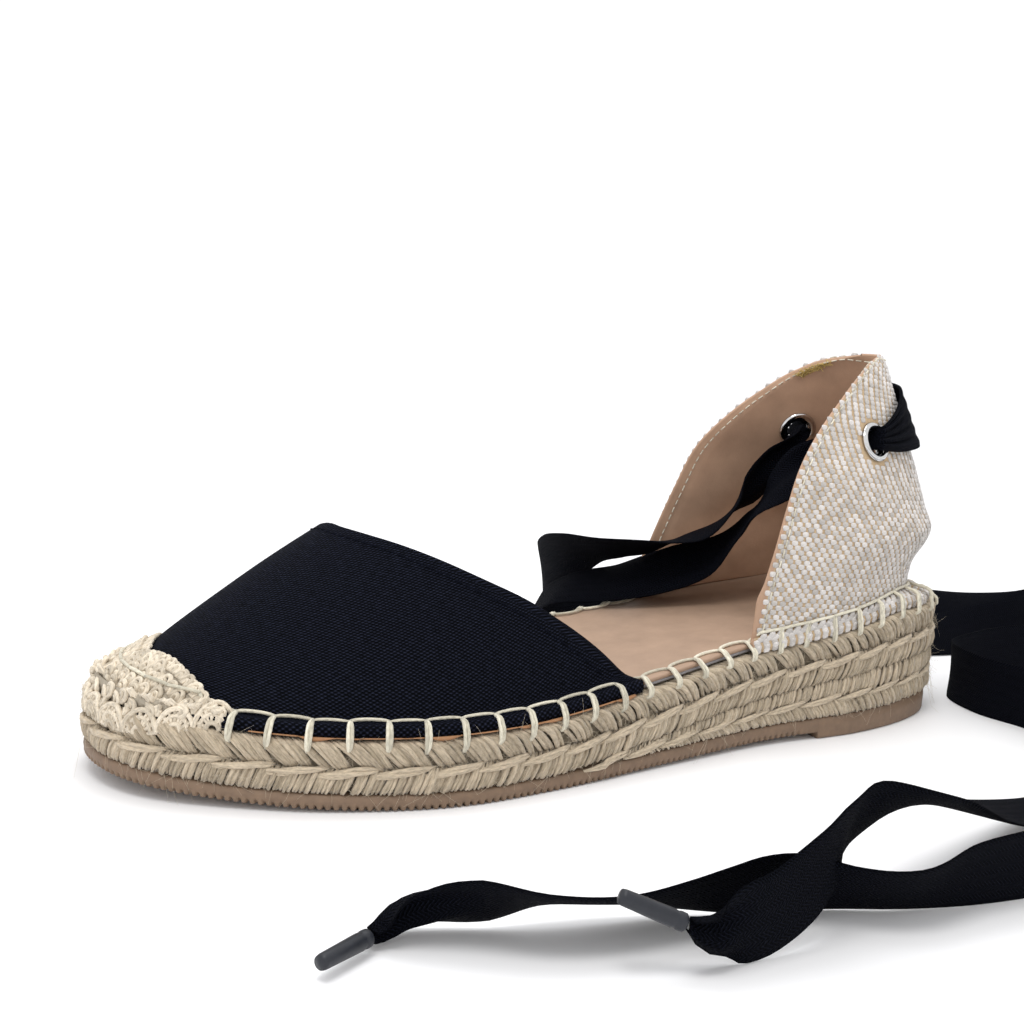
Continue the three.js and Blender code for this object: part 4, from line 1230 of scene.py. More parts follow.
def heel_lift():
    build = Build()
    count = int(edge.length / 1.02)
    pitch = edge.length / count
    steep = (lambda x: mix(lift_under(x), lift_top(x), 0.54), lambda x: lift_top(x) + 0.5)
    low = (lambda x: lift_under(x) - 0.1, lambda x: mix(lift_under(x), lift_top(x), 0.52))
    for layer, deep in ((0, -0.35), (0.5, 0.0)):
        strand_row(
            build, layer, pitch, count, -1.2, steep,
            ((0, 0.3, 0.8, 1), (deep - 0.9, deep - 0.4, deep - 0.4, deep - 0.9)), 0.56, rough=0.3,
        )
        strand_row(
            build, layer + 0.3, pitch, count, 3.2, low,
            ((0, 0.2, 0.7, 1), (deep - 0.9, deep - 0.35, deep - 0.35, deep - 1.0)), 0.58, rough=0.3,
        )
    chain(build, CHAIN_PITCH, 5.0, lambda x: mix(lift_under(x), lift_top(x), 0.5), x_end=128, size=0.66)
    return finish_piece(build.piece("lift_strands", [jute_yarn]))


FIBRES = 6500


def fuzz_piece():
    """Loose fibres that stand off the jute."""
    count = FIBRES
    build = Build()
    s = dice.uniform(0, edge.length, count)
    x = edge.x(s)
    low = np.where(x < LIFT_END * LENGTH, lift_under(x), braid_under(x))
    where = dice.beta(0.9, 0.9, count)
    z = mix(low + 0.2, jute_top(x) - 0.4, where)
    out = -0.5 + 0.2 * dice.normal(0, 1, count)
    reach = dice.gamma(2.0, 0.75, count) * np.where(x < 22, 1.5, 1.0)
    t = np.linspace(0, 1, 4)
    normal = np.concatenate([edge.normal(s), np.zeros((count, 1))], -1)
    along = np.stack([-normal[:, 1], normal[:, 0], np.zeros(count)], -1)
    swing = dice.normal(0, 1.0, (count, 3))
    upward = np.array([0, 0, 1.0])
    drift = along * swing[:, :1] + upward * swing[:, 1:2] * 0.7 + normal * 0.45
    curl = along * dice.normal(0, 0.7, (count, 1)) + upward * dice.normal(-0.3, 0.7, (count, 1))
    start = edge.skin(s, z, out)
    paths = start[:, None] + reach[:, None, None] * (
        drift[:, None] * t[None, :, None] + curl[:, None] * (t**2)[None, :, None]
    )
    paths[..., 2] = np.maximum(paths[..., 2], 0.3)
    girth = 0.045 * (1 - 0.6 * t)[None] * np.ones((count, 1))
    build.tubes(paths, normal[:, None], girth, girth, 3)
    return finish_piece(build.piece("loose_fibres", [fibre_fluff]))


BUNDLE_PITCH, CHAIN_PITCH, STITCH_PITCH = 9.1, 12.3, 9.1


# ---------------------------------------------------------------- insole


def insole_piece():
    steps = 300
    s = np.linspace(0, edge.length, steps + 1)
    x = edge.x(s)
    top, low = insole_top(x), jute_top(x) + GAP
    inset = drawn_in(INSOLE_INSET)(share_of(x))
    level = [
        (inset + 3, low),
        (inset + 0.25, low),
        (inset + 0.1, low + 0.65),
        (inset + 0.35, low + 0.8),
        (inset, low + 0.95),
        (inset, top - 0.35),
        (inset + 0.15, top - 0.1),
        (inset + 0.5, top),
        (inset + 4, top - 0.06),
    ]
    marks = [1, 1, 1, 0, 0, 0, 0, 0]
    rows = np.array([edge.skin(s, z, -depth) for depth, z in level])
    build = Build()
    for k, mark in enumerate(marks):
        build.grid(rows[k : k + 2].transpose(1, 0, 2), np.array([[k, k + 1.0]]), s[:, None], mark)
    for row, mark, sink in ((rows[0], 1, 0), (rows[-1], 0, 0.35)):
        for a, b in ((0.0, 0.35), (0.35, 0.7), (0.7, 1.0)):
            near, far = row * (1, 1 - a, 1), row * (1, 1 - b, 1)
            near[:, 2] -= sink * math.sin(a * math.pi / 2)
            far[:, 2] -= sink * math.sin(b * math.pi / 2)
            build.grid(np.stack([near, far], 1), np.array([[a, b]]), s[:, None], mark)
    made = build.piece("insole_board", [insole_leather, grey_foam], weld=0.02)
    return finish_piece(made, "insole")


# ---------------------------------------------------------------- vamp


VAMP_FEET = {
    "outer": [
        (0.9, jute_z),
        (0.75, lambda x: seat_z(x) - 0.5),
        (1.1, lambda x: seat_z(x) + 0.35),
        (1.9, lambda x: seat_z(x) + 0.75),
        (3.3, lambda x: seat_z(x) + 0.55),
    ],
    "inner": [
        (2.1, jute_z),
        (2.1, lambda x: seat_z(x) - 1.2),
        (2.1, seat_z),
        (2.8, seat_z),
        (3.5, seat_z),
    ],
}


def rim_grid(outer, inner, away, turns=5):
    """A rounded edge from the outer face's line to the inner one's."""
    middle, half = (outer + inner) / 2, (outer - inner) / 2
    reach = np.linalg.norm(half, axis=-1, keepdims=True)
    angles = np.linspace(0, np.pi, turns + 2)
    return np.stack([middle + half * math.cos(a) + away * reach * math.sin(a) for a in angles], 1)


def vamp_piece():
    shared = {
        "rear": throat_rear,
        "foot_rear": MARGIN_REAR_X,
        "foot_end": CAP_REAR_SIDE + 2 * FOOT_FADE + 1,
        "rows": 84,
        "steps": 64,
    }
    outer = upper_face(VAMP_FEET["outer"], 0, first_angle=WALL_FROM_ANGLE, **shared)
    inner = upper_face(VAMP_FEET["inner"], -WALL, first_angle=0, **shared)
    build = Build()
    build.grid(outer, outer[..., 0], walked_columns(outer), 0)
    build.grid(inner[::-1], inner[::-1][..., 0], walked_columns(inner)[::-1], 1)
    away = unit(outer[:, 0] - outer[:, 2])
    rim = rim_grid(outer[:, 0], inner[:, 0], away)
    turn = np.arange(rim.shape[1]) * 0.5
    build.grid(rim, turn[None], walked_columns(outer)[:, :1], 0)
    for k in (0, -1):
        foot = np.stack([outer[k], inner[k]], 1)
        build.grid(foot, np.array([[0.0, 1.0]]), outer[k][:, :1], 0)
    tip = np.stack([outer[:, -1], inner[:, -1]], 1)
    build.grid(tip, np.array([[0.0, 1.0]]), np.arange(len(outer))[:, None] * 1.0, 0)
    made = build.piece("canvas_vamp", [black_canvas, tan_lining], weld=0.004)
    finish_piece(made, "vamp")
    return outer


def throat_stitches(outer):
    """Fine stitches beside the vamp's folded throat edge."""
    build = Build()
    line = walked_rows(outer)
    spots = []
    for row, far in zip(outer[5:-5], line[5:-5]):
        spots.append([np.interp(2.6, far, row[:, i]) for i in range(3)])
    add_dashes(build, np.array(spots), np.array((150.0, 0.0, 10.0)), 2.6, 1.9, 0.24, 0.12)
    finish_piece(build.piece("throat_stitches", [black_thread]))


def add_dashes(build, line, centre, pitch, length, radius, lift):
    """Running stitches along a line on a face that bulges away from centre."""
    hop = np.linalg.norm(np.diff(line, axis=0), axis=1)
    walked = np.concatenate([[0], np.cumsum(hop)])
    starts = np.arange(pitch, walked[-1] - pitch, pitch)
    t = np.linspace(0, 1, 6)
    at = starts[:, None] + length * t[None]
    paths = np.stack([np.interp(at, walked, line[:, i]) for i in range(3)], -1)
    outward = unit(paths[:, 2] - centre)[:, None]
    paths = paths + outward * (lift * np.sin(np.pi * t) - 0.05)[None, :, None]
    build.tubes(paths, outward, radius, radius, 6)


# ---------------------------------------------------------------- crocheted toe cap

CAP_FEET = {
    "outer": [(1.5, jute_z), (1.4, lambda x: seat_z(x) + 0.2), (1.9, lambda x: seat_z(x) + 1.4)],
    "inner": [(2.6, jute_z), (2.6, lambda x: seat_z(x) - 0.5), (2.6, seat_z)],
}
SHELL_DROP, SHELL_DROP_FROM, LOOPS_FROM = 5.0, 229.0, 3.2
CROCHET_SINK = 0.75  # the shell lies this much under the loops


def cap_grids(out, rows=72, steps=40):
    shared = {
        "rear": cap_rear_both,
        "foot_rear": CAP_REAR_SIDE,
        "foot_end": 1e9,
        "rows": rows,
        "steps": steps,
    }
    outer = upper_face(CAP_FEET["outer"], out, first_angle=CAP_FROM_ANGLE, **shared)
    inner = upper_face(CAP_FEET["inner"], CAP_CLEAR, first_angle=0, **shared)
    share = np.linspace(0, 1, len(outer))[:, None]
    over = np.clip(4 * np.minimum(share, 1 - share), 0, 1)
    thin = CAP_EDGE_THIN * over * (1 - ease(walked_rows(outer) / CAP_EDGE_TAPER))
    return mix(outer, inner, thin[..., None]), inner


def shell_drop(x):
    """How far the crochet's foot hangs below its usual height: over the bundles at the toe."""
    return SHELL_DROP * ease((x - SHELL_DROP_FROM) / (LENGTH - 3 - SHELL_DROP_FROM))


def cap_rear_both(angle):
    return cap_rear(np.minimum(angle, 180 - angle))


def grid_normals(grid):
    across = np.gradient(grid, axis=0)
    along = np.gradient(grid, axis=1)
    return unit(np.cross(across, along))


def cap_piece():
    outer, inner = cap_grids(CAP_THICK + GAP - CROCHET_SINK)
    build = Build()
    build.grid(outer, outer[..., 0], walked_columns(outer), 0)
    build.grid(inner[::-1], inner[::-1][..., 0], walked_columns(inner)[::-1], 0)
    rear = np.stack([outer[:, 0], inner[:, 0]], 1)
    build.grid(rear, np.array([[0.0, 1.0]]), np.arange(len(outer))[:, None] * 1.0)
    for k in (0, -1):
        build.grid(np.stack([outer[k], inner[k]], 1), np.array([[0.0, 1.0]]), outer[k][:, :1])
    tip = np.stack([outer[:, -1], inner[:, -1]], 1)
    build.grid(tip, np.array([[0.0, 1.0]]), np.arange(len(outer))[:, None] * 1.0)
    finish_piece(build.piece("cap_shell", [crochet_base_painted_shade], weld=0.004), "toe_cap")
    return outer


CROCHET_ROW, CROCHET_STITCH, CROCHET_APART = 2.75, 3.0, 2.0


def crochet_piece(outer):
    """Rows of crochet stitches, parallel to the cap's rear edge, each a fat loop over two plies."""
    line = walked_rows(outer)
    middle = np.array((222.0, -2.0, 14.0))
    taken = np.zeros((0, 3))
    centres, across, along, outward, stands = [], [], [], [], []
    row_count = int(line.max() / CROCHET_ROW) + 1
    for k in range(row_count):
        depth = 2.3 + CROCHET_ROW * k
        on = line[:, -1] > depth + 0.2
        spots = np.array([[np.interp(depth, f, r[:, i]) for i in range(3)] for f, r in zip(line, outer)])
        ahead = np.array([[np.interp(depth + 1, f, r[:, i]) for i in range(3)] for f, r in zip(line, outer)])
        spots, ahead = spots[on], ahead[on]
        if len(spots) < 4:
            continue
        walked = np.concatenate([[0], np.cumsum(np.linalg.norm(np.diff(spots, axis=0), axis=1))])
        for at in np.arange(0.9 + (k % 2) * CROCHET_STITCH / 2, walked[-1], CROCHET_STITCH):
            spot = np.array([np.interp(at, walked, spots[:, i]) for i in range(3)])
            next_row = np.array([np.interp(at, walked, ahead[:, i]) for i in range(3)])
            later = np.array([np.interp(at + 0.5, walked, spots[:, i]) for i in range(3)])
            crowded = len(taken) and np.linalg.norm(taken - spot, axis=1).min() < CROCHET_APART
            if crowded or spot[2] < jute_top(spot[0]) + max(-0.4, LOOPS_FROM - shell_drop(spot[0])):
                continue
            taken = np.vstack([taken, spot])
            a, b = unit(later - spot + 1e-9), unit(next_row - spot + 1e-9)
            n = unit(np.cross(a, b))
            if n @ (spot - middle) < 0:
                n = -n
            b = b - a * (a @ b)
            centres.append(spot)
            across.append(a)
            along.append(unit(b))
            outward.append(n)
            stands.append(0.45 if k == 0 else 1.0)
    centres, across, along, outward, stands = map(np.array, (centres, across, along, outward, stands))
    count = len(centres)
    build = Build()
    t = np.linspace(0, 1, 13)
    swell = dice.uniform(0.9, 1.12, (count, 1, 1))
    for loop, (half, high, rise, girth) in enumerate(((1.4, 3.0, 1.0, 0.62), (0.62, 1.7, 0.9, 0.55))):
        turn = np.pi * t
        a = -half * np.cos(turn)
        b = 1.1 - high * np.sin(turn) ** 0.8
        n = rise * np.sin(turn) ** 0.7 - 0.35 + 0.1 * loop
        skew = dice.normal(0, 0.16, (count, 1))
        paths = centres[:, None] + across[:, None] * ((a[None] + skew * np.sin(turn))[..., None] * swell)
        paths = paths + along[:, None] * (b[None, :, None] * swell)
        paths = paths + outward[:, None] * (n[None] * stands[:, None])[..., None]
        paths[..., 2] = np.maximum(paths[..., 2], jute_top(paths[..., 0]) - 2.6)
        build.tubes(paths, outward[:, None], girth, girth * 0.95, 8)
    finish_piece(build.piece("crochet_loops", [crochet_yarn]))


def cap_border(outer):
    """A chain of small stitches along the cap's rear edge."""
    build = Build()
    rim = outer[:, 0] + unit(outer[:, 1] - outer[:, 0]) * 0.5
    lift = unit(rim - np.array((225.0, -3.0, 10.0)))
    hop = np.linalg.norm(np.diff(rim, axis=0), axis=1)
    walked = np.concatenate([[0], np.cumsum(hop)])
    pitch = 2.3
    starts = np.arange(0, walked[-1] - pitch, pitch)
    t = np.linspace(0, 1, 9)
    for side in (-1, 1):
        at = starts[:, None] + pitch * 1.45 * t[None]
        spot = np.stack([np.interp(at, walked, rim[:, i]) for i in range(3)], -1)
        up = unit(np.stack([np.interp(at, walked, lift[:, i]) for i in range(3)], -1))
        forward = unit(np.gradient(spot, axis=1))
        beside = np.cross(up, forward)
        spread = side * 0.62 * np.sin(np.pi * t) + side * 0.08
        rise = 0.3 * np.sin(np.pi * np.clip(t * 0.85 + 0.15, 0, 1)) - 0.1
        paths = spot + beside * spread[None, :, None] + up * rise[None, :, None]
        build.tubes(paths, up, 0.42, 0.42, 6)
    finish_piece(build.piece("cap_border", [crochet_yarn]))


# ---------------------------------------------------------------- heel quarter


def quarter_margin(sides, turns):
    """The quarter's turned-out foot: it comes down over the insole's edge to the jute.

    turns are (share of the reach, millimetres more, height over the seat).
    """
    foot = quarter_point(sides, 0)
    away = unit(quarter_normal(sides, 0.0) * (1, 1, 0))
    s = np.linspace(0, edge.length, 1500)
    ring = edge.skin(s, 0 * s, 0.0)[:, :2]
    reach = np.array([np.linalg.norm(ring - f[:2], axis=1).min() for f in foot]) - 1.3
    flat = reach > MARGIN_REACH + 2.5
    reach = np.clip(reach, 1.2, MARGIN_REACH + 2.5)
    rows = []
    for share, more, above in turns:
        spot = foot + away * (reach * share + more)[:, None]
        spot[:, 2] = seat_z(spot[:, 0]) + np.where(flat, max(above, 0.02), above)
        rows.append(spot)
    return np.array(rows)


OVER_THE_EDGE = ((1, -0.1, -2.35), (1, 0.15, -0.7), (1, -0.4, 0.5), (0.6, 0.0, 1.35), (0, 0.75, 2.0))


def quarter_piece():
    """The quarter's cloth and lining, with holes for the eyelets."""
    rows, columns = 96, 120
    sides = np.linspace(-1, 1, columns + 1)
    side, up = np.meshgrid(sides, np.linspace(0, 1, rows + 1))
    outer_up = mix(0.035, 1, up)
    outer = quarter_face(side, outer_up, np.zeros(side.shape))
    outer = np.concatenate([quarter_margin(sides, OVER_THE_EDGE), outer])
    under = ((1, -0.7, -2.35), (1, -0.6, -0.9), (1, -1.1, 0.0), (0.6, 0.0, 0.0), (0, 0.3, 0.0))
    thin = np.minimum((1 - np.abs(side)) / 0.05, (1 - up) / 0.04)
    inner = quarter_face(side, up, -WALL * mix(0.5, 1, ease(thin)))
    inner[0, :, 2] = seat_z(inner[0, :, 0])
    inner = np.concatenate([quarter_margin(sides, under), inner])
    build = Build()
    build.grid(outer, walked_rows(outer), walked_columns(outer), 0)
    build.grid(inner[:, ::-1], walked_rows(inner)[:, ::-1], walked_columns(inner)[:, ::-1], 1)
    for column, step in ((0, 1), (-1, -2)):
        away = unit(outer[:, column] - outer[:, step])
        rim = rim_grid(outer[:, column], inner[:, column], away)
        ramp = np.arange(rim.shape[1]) * 0.4
        build.grid(rim, ramp[None], walked_columns(outer)[:, column][:, None], 1)
    away = np.broadcast_to((0, 0, 1.0), outer[-1].shape)
    rim = rim_grid(outer[-1], inner[-1], away)
    build.grid(rim, np.arange(rim.shape[1])[None] * 0.4, walked_rows(outer)[-1][:, None], 1)
    build.grid(np.stack([outer[0], inner[0]], 1), np.array([[0.0, 1.0]]), walked_rows(outer)[0][:, None], 0)
    made = build.piece("quarter_cloth", [basket_base, tan_lining], weld=0.004)
    for node in ("eyelet_left", "eyelet_right"):
        punch_hole(made, node)
    finish_piece(made, "heel_quarter")
    return outer


def eyelet_frame(node):
    """Centre and outward axis of an eyelet, from its node."""
    points = from_frame([v.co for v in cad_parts[node].data.vertices])
    points = np.unique(points.round(3), axis=0)
    centre = points.mean(0)
    axis = np.linalg.svd(points - centre)[2][2]
    if axis @ (centre - np.array((60.0, 0.0, centre[2]))) < 0:
        axis = -axis
    return centre, axis


def punch_hole(made, node):
    centre, axis = eyelet_frame(node)
    side = unit(np.cross(axis, (0, 0, 1)))
    up = np.cross(side, axis)
    turn = np.linspace(0, 2 * np.pi, 33)[:-1]
    ring = (side * np.cos(turn)[:, None] + up * np.sin(turn)[:, None]) * (EYELET_HOLE + 0.7)
    points = np.concatenate([centre + ring - axis * 9, centre + ring + axis * 9])
    count = len(turn)
    faces = [[i, (i + 1) % count, count + (i + 1) % count, count + i] for i in range(count)]
    faces += [list(range(count))[::-1], list(range(count, 2 * count))]
    mesh = bpy.data.meshes.new("punch")
    mesh.from_pydata(to_frame(points).tolist(), [], faces)
    work = bmesh.new()
    work.from_mesh(mesh)
    bmesh.ops.recalc_face_normals(work, faces=work.faces)
    work.to_mesh(mesh)
    work.free()
    punch = bpy.data.objects.new("punch", mesh)
    bpy.context.scene.collection.objects.link(punch)
    cut = made.modifiers.new("hole", "BOOLEAN")
    cut.operation, cut.object, cut.solver = "DIFFERENCE", punch, "EXACT"
    graph = bpy.context.evaluated_depsgraph_get()
    result = bpy.data.meshes.new_from_object(made.evaluated_get(graph))
    made.modifiers.clear()
    made.data = result
    bpy.data.objects.remove(punch)


WEFT_PITCH, PICK_PITCH, CLOTH_TILT = 2.85, 1.3, 0.115
PICK_HALVES, MARGIN_PICK_HALVES = (1.08, 0.78, 0.27), (1.04, 0.74, 0.34)


def basket_cells(eyelets):
    """The thick white picks of the quarter's basketweave, row by row on its face."""
    sides = np.linspace(-1, 1, 241)
    ups = np.linspace(0, 1, 241)
    side, up = np.meshgrid(sides, ups)
    face = quarter_face(side, up, np.zeros(side.shape))
    level = face[..., 2] - CLOTH_TILT * face[..., 0]
    centres, across, along, outward = [], [], [], []
    for k, height in enumerate(np.arange(level.min() + 1.5, level.max(), PICK_PITCH)):
        found = [np.interp(height, level[:, c], ups, left=-1, right=-1) for c in range(len(sides))]
        found = np.array(found)
        ok = (found > 0.012) & (found < 0.994)
        if ok.sum() < 4:
            continue
        line_side, line_up = sides[ok], found[ok]
        line = quarter_point(line_side, line_up)
        hop = np.linalg.norm(np.diff(line, axis=0), axis=1)
        walked = np.concatenate([[0], np.cumsum(hop)])
        zero = np.interp(0, line_side, walked)
        near = 0.15 + (k % 2) * WEFT_PITCH / 2
        right = np.arange(near, zero - 0.3, WEFT_PITCH)
        left = walked[-1] - np.arange(near, walked[-1] - zero - 0.3, WEFT_PITCH)
        at = np.concatenate([right, left])
        at = at[(at > 0) & (at < walked[-1])]
        broken = np.concatenate([[False], hop > 3])
        at = at[np.interp(at, walked, broken.astype(float)) < 0.01]
        s, u = np.interp(at, walked, line_side), np.interp(at, walked, line_up)
        spot, normal = quarter_point(s, u), quarter_normal(s, u)
        ahead = quarter_point(np.interp(at + 0.4, walked, line_side), np.interp(at + 0.4, walked, line_up))
        direction = unit(ahead - spot + 1e-9)
        centres.append(spot)
        across.append(direction)
        along.append(np.cross(normal, direction))
        outward.append(normal)
    centres, across, along, outward = map(np.concatenate, (centres, across, along, outward))
    keep = np.ones(len(centres), bool)
    for centre, axis in eyelets:
        gap = centres - centre
        flat = gap - axis * (gap @ axis)[:, None]
        near = (np.linalg.norm(flat, axis=1) < EYELET_RADIUS + 0.5) & (np.abs(gap @ axis) < 8)
        keep &= ~near
    keep &= centres[:, 2] > seat_z(centres[:, 0]) + 2.5
    centres = centres[keep] + outward[keep] * 0.02
    build = Build()
    jitter = dice.normal(0, 0.05, centres.shape)
    build.bumps(
        centres + jitter, across[keep], along[keep], outward[keep], PICK_HALVES, rings=3, sides=8
    )
    finish_piece(build.piece("basket_picks", [white_weft]))


def quarter_margin_cells():
    """The same weave on the quarter's turned-out foot."""
    sides = np.linspace(-1, 1, 400)
    rows = quarter_margin(sides, OVER_THE_EDGE)
    centres, across, along, outward = [], [], [], []
    for k, at_row in enumerate(np.linspace(0.25, 3.9, 7)):
        low = int(at_row)
        line = mix(rows[low], rows[low + 1], at_row - low)
        climb = unit(rows[low + 1] - rows[low])
        walked = walked_rows(line[None])[0]
        at = np.arange(1.0 + (k % 2) * WEFT_PITCH / 2, walked[-1] - 0.8, WEFT_PITCH)

        def read(values):
            return np.stack([np.interp(at, walked, values[:, i]) for i in range(3)], -1)

        spot, rise = read(line), unit(read(climb))
        direction = unit(read(np.gradient(line, axis=0)))
        centres.append(spot)
        across.append(direction)
        along.append(rise)
        outward.append(unit(np.cross(rise, direction)))
    centres, across, along, outward = map(np.concatenate, (centres, across, along, outward))
    build = Build()
    build.bumps(centres, across, along, outward, MARGIN_PICK_HALVES, rings=3, sides=8)
    finish_piece(build.piece("margin_picks", [white_weft]))


def quarter_stitches():
    """Running stitches inside the quarter's edge and beside its outer fold."""
    build = Build()
    around = np.linspace(0, 1, 400)
    path_up = np.interp(around, (0, 0.46, 0.54, 1), (0.03, 0.984, 0.984, 0.03))
    path_side = np.interp(around, (0, 0.46, 0.54, 1), (-0.992, -0.975, 0.975, 0.992))
    inside = quarter_face(path_side, path_up, np.full(around.shape, -WALL - 0.05))
    add_dashes(build, inside, inside.mean(0), 2.5, 1.7, 0.2, 0.0)
    outside = quarter_face(path_side, path_up, np.full(around.shape, 0.45))
    add_dashes(build, outside, inside.mean(0), 3.0, 2.1, 0.22, 0.25)
    finish_piece(build.piece("quarter_stitches", [cream_thread]))


def glue_tuft():
    """A patch of glued lint inside the quarter's right edge."""
    count = 260
    up, side = dice.uniform(0.9, 0.965, count), -dice.uniform(0.9, 1.0, count)
    start = quarter_face(side, up, np.full(count, -WALL + 0.1))
    inward = -quarter_normal(side, up)
    sway = dice.normal(0, 0.55, (count, 3))
    t = np.linspace(0, 1, 5)[None, :, None]
    paths = start[:, None] + inward[:, None] * 0.5 * np.sin(np.pi * t * 0.8) + sway[:, None] * t
    build = Build()
    build.tubes(paths, inward[:, None], 0.09, 0.09, 4)
    finish_piece(build.piece("glue_tuft", [glue_lint]))


def eyelet_piece(name, node):
    """A rolled metal eyelet, turned round its own axis."""
    centre, axis = eyelet_frame(node)
    side = unit(np.cross(axis, (0, 0, 1)))
    up = np.cross(side, axis)
    outer, inner = 2.4, -2.4
    turns = np.linspace(0, np.pi, 9)
    mid, bead = (EYELET_HOLE + EYELET_RADIUS) / 2 + 0.15, 1.05
    profile = [(mid - bead * math.cos(a), outer - 0.8 + 0.95 * math.sin(a)) for a in turns]
    profile += [(mid - 0.2, outer - 1.0), (EYELET_HOLE + 0.5, outer - 1.0)]
    profile += [(EYELET_HOLE + 0.5, inner + 1.0), (mid - 0.2, inner + 1.0)]
    profile += [(mid + bead * math.cos(a), inner + 0.8 - 0.8 * math.sin(a)) for a in turns]
    profile += [(EYELET_HOLE - 0.1, inner + 0.9), (EYELET_HOLE - 0.25, 0), profile[0]]
    profile = np.array(profile)
    turn = np.linspace(0, 2 * np.pi, 57)
    ring = side * np.cos(turn)[:, None] + up * np.sin(turn)[:, None]
    points = centre + ring[None] * profile[:, :1][:, None] + axis * profile[:, 1:][:, None]
    build = Build()
    build.grid(points, turn[None], np.arange(len(profile))[:, None] * 1.0)
    finish_piece(build.piece(name, [nickel], weld=0.01), node)


# ---------------------------------------------------------------- lace behind the heel


# the lace's squeeze in an eyelet, as a share of the hole, at distances along the hole's axis
LACE_NECK = ((0.95, 2.6), (0.85, 1.2), (0.8, -0.6), (0.8, -2.6), (0.85, -4.6), (0.95, -6.2))


def lace_bar_piece():
    columns = {c: through(BAR, "share", c) for c in ("z", "half", "above", "below")}
    eyelets = {side: eyelet_frame(f"eyelet_{side}") for side in ("left", "right")}
    search = np.linspace(0, 1, 400)
    reach = {}
    for side, sign in (("left", 1), ("right", -1)):
        centre = eyelets[side][0]
        ups = np.array([np.interp(centre[2], quarter_point(sign * r, search)[:, 2], search) for r in search])
        spots = quarter_point(sign * search, ups)
        reach[side] = search[np.argmin(np.linalg.norm(spots - centre, axis=1))]
    steps, lanes = 60, 26
    across = np.linspace(-1, 1, lanes + 1)
    rows = []
    places = np.linspace(-1, 1, 2 * steps + 1)
    for place in places:
        share = abs(place)
        side = place * (reach["left"] if place > 0 else reach["right"])
        heights = columns["z"](share) + across * columns["half"](share)
        up = np.interp(heights, quarter_point(side, search)[:, 2], search)
        off = mix(columns["below"](share), columns["above"](share), (across + 1) / 2) + RIBBON_THICK / 2
        pleat = 0.75 * np.sin(across * np.pi * 4.5 + 0.6) * share**1.3 * (1 - 0.35 * across)
        rows.append(quarter_face(side, up, off + pleat))
    rows = np.array(rows)
    ends = []
    for side, index in (("right", 0), ("left", -1)):
        centre, axis = eyelets[side]
        bundle = rows[index] - centre
        flat = bundle - axis * (bundle @ axis)[:, None]
        neck = []
        for squeeze, along in LACE_NECK:
            neck.append(centre + flat * squeeze * 0.95 + axis * along)
        ends.append(np.array(neck))
    rows = np.concatenate([ends[0][::-1], rows, ends[1]])
    normal = grid_normals(rows)
    thick = RIBBON_THICK * 0.45
    front, rear = rows + normal * thick, rows - normal * thick
    walked = walked_columns(rows)[:, lanes // 2]
    flat = across * RIBBON_WIDTH / 2
    build = Build()
    build.grid(front, flat[None], walked[:, None])
    build.grid(rear[:, ::-1], flat[::-1][None], walked[:, None])
    for column in (0, -1):
        rim = np.stack([rear[:, column], front[:, column]], 1)
        build.grid(rim, np.array([[0.0, 1.0]]), walked[:, None])
    for row in (0, -1):
        build.grid(np.stack([front[row], rear[row]], 1), flat[:, None], np.array([[0.0, 1.0]]))
    made = build.piece("lace_behind_heel", [black_tape], weld=0.01)
    return finish_piece(made, "lace_bar")


# ---------------------------------------------------------------- blanket stitch


def surface_tree(*nodes):
    points, faces = [], []
    for node in nodes:
        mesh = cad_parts[node].data
        base = len(points)
        points += [v.co.copy() for v in mesh.vertices]
        faces += [[i + base for i in p.vertices] for p in mesh.polygons]
    return BVHTree.FromPolygons(points, faces)


def grid_tree(points):
    index = np.arange(points.shape[0] * points.shape[1]).reshape(points.shape[:2])
    quads = np.stack([index[:-1, :-1], index[:-1, 1:], index[1:, 1:], index[1:, :-1]], -1)
    return BVHTree.FromPolygons(to_frame(points.reshape(-1, 3)).tolist(), quads.reshape(-1, 4).tolist())


def wall_depth(tree, s, above):
    """How far in from the outline the wall stands at s, above the seat, or None."""
    x = float(edge.x(s))
    start = edge.skin(np.array(s), seat_z(x) + above, 6.0)
    inward = -np.append(edge.normal(np.array(s)), 0)
    hit = tree.ray_cast(Vector(to_frame(start)), Vector(inward), 0.024)
    return None if hit[0] is None else hit[3] / MM - 6.0


# Where the blanket stitch runs, by zone: height looked up over the seat, height of the thread over
# the jute, how far it stands off the wall, its arch up and inwards, and how far it reaches down.
ZONES = {
    "cap": {"look": 3.6, "high": 6.6, "off": 1.3, "arch": 0.25, "bow": 0.0, "down": None},
    "vamp": {"look": 2.4, "high": 3.35, "off": 0.9, "arch": 0.5, "bow": 0.1, "down": 2.9},
    "quarter": {"look": 2.6, "high": 5.6, "off": 0.9, "arch": 0.15, "bow": -0.1, "down": 2.0},
    "waist": {"look": None, "high": 2.75, "off": 0.0, "arch": 0.0, "bow": 1.5, "down": 1.4},
}
WAIST_DEPTH = 4.3


def stitch_line(cap_face, count, fine):
    """Zone, distance along, depth and height of the stitch's thread, fine steps to a stitch."""
    trees = {"cap": grid_tree(cap_face), "vamp": surface_tree("vamp")}
    trees["quarter"] = surface_tree("heel_quarter")
    samples, zones = [], []
    for i in range(count * fine):
        s = edge.length * i / (count * fine)
        x = float(edge.x(s))
        zone, depth = "waist", WAIST_DEPTH
        for name, tree in trees.items():
            found = wall_depth(tree, s, ZONES[name]["look"])
            if found is not None and found < (8.5 if name == "quarter" else 16.5):
                zone, depth = name, found - ZONES[name]["off"]
                break
        samples.append((s, depth, jute_top(x) + ZONES[zone]["high"]))
        zones.append(zone)
    return np.array(samples), zones


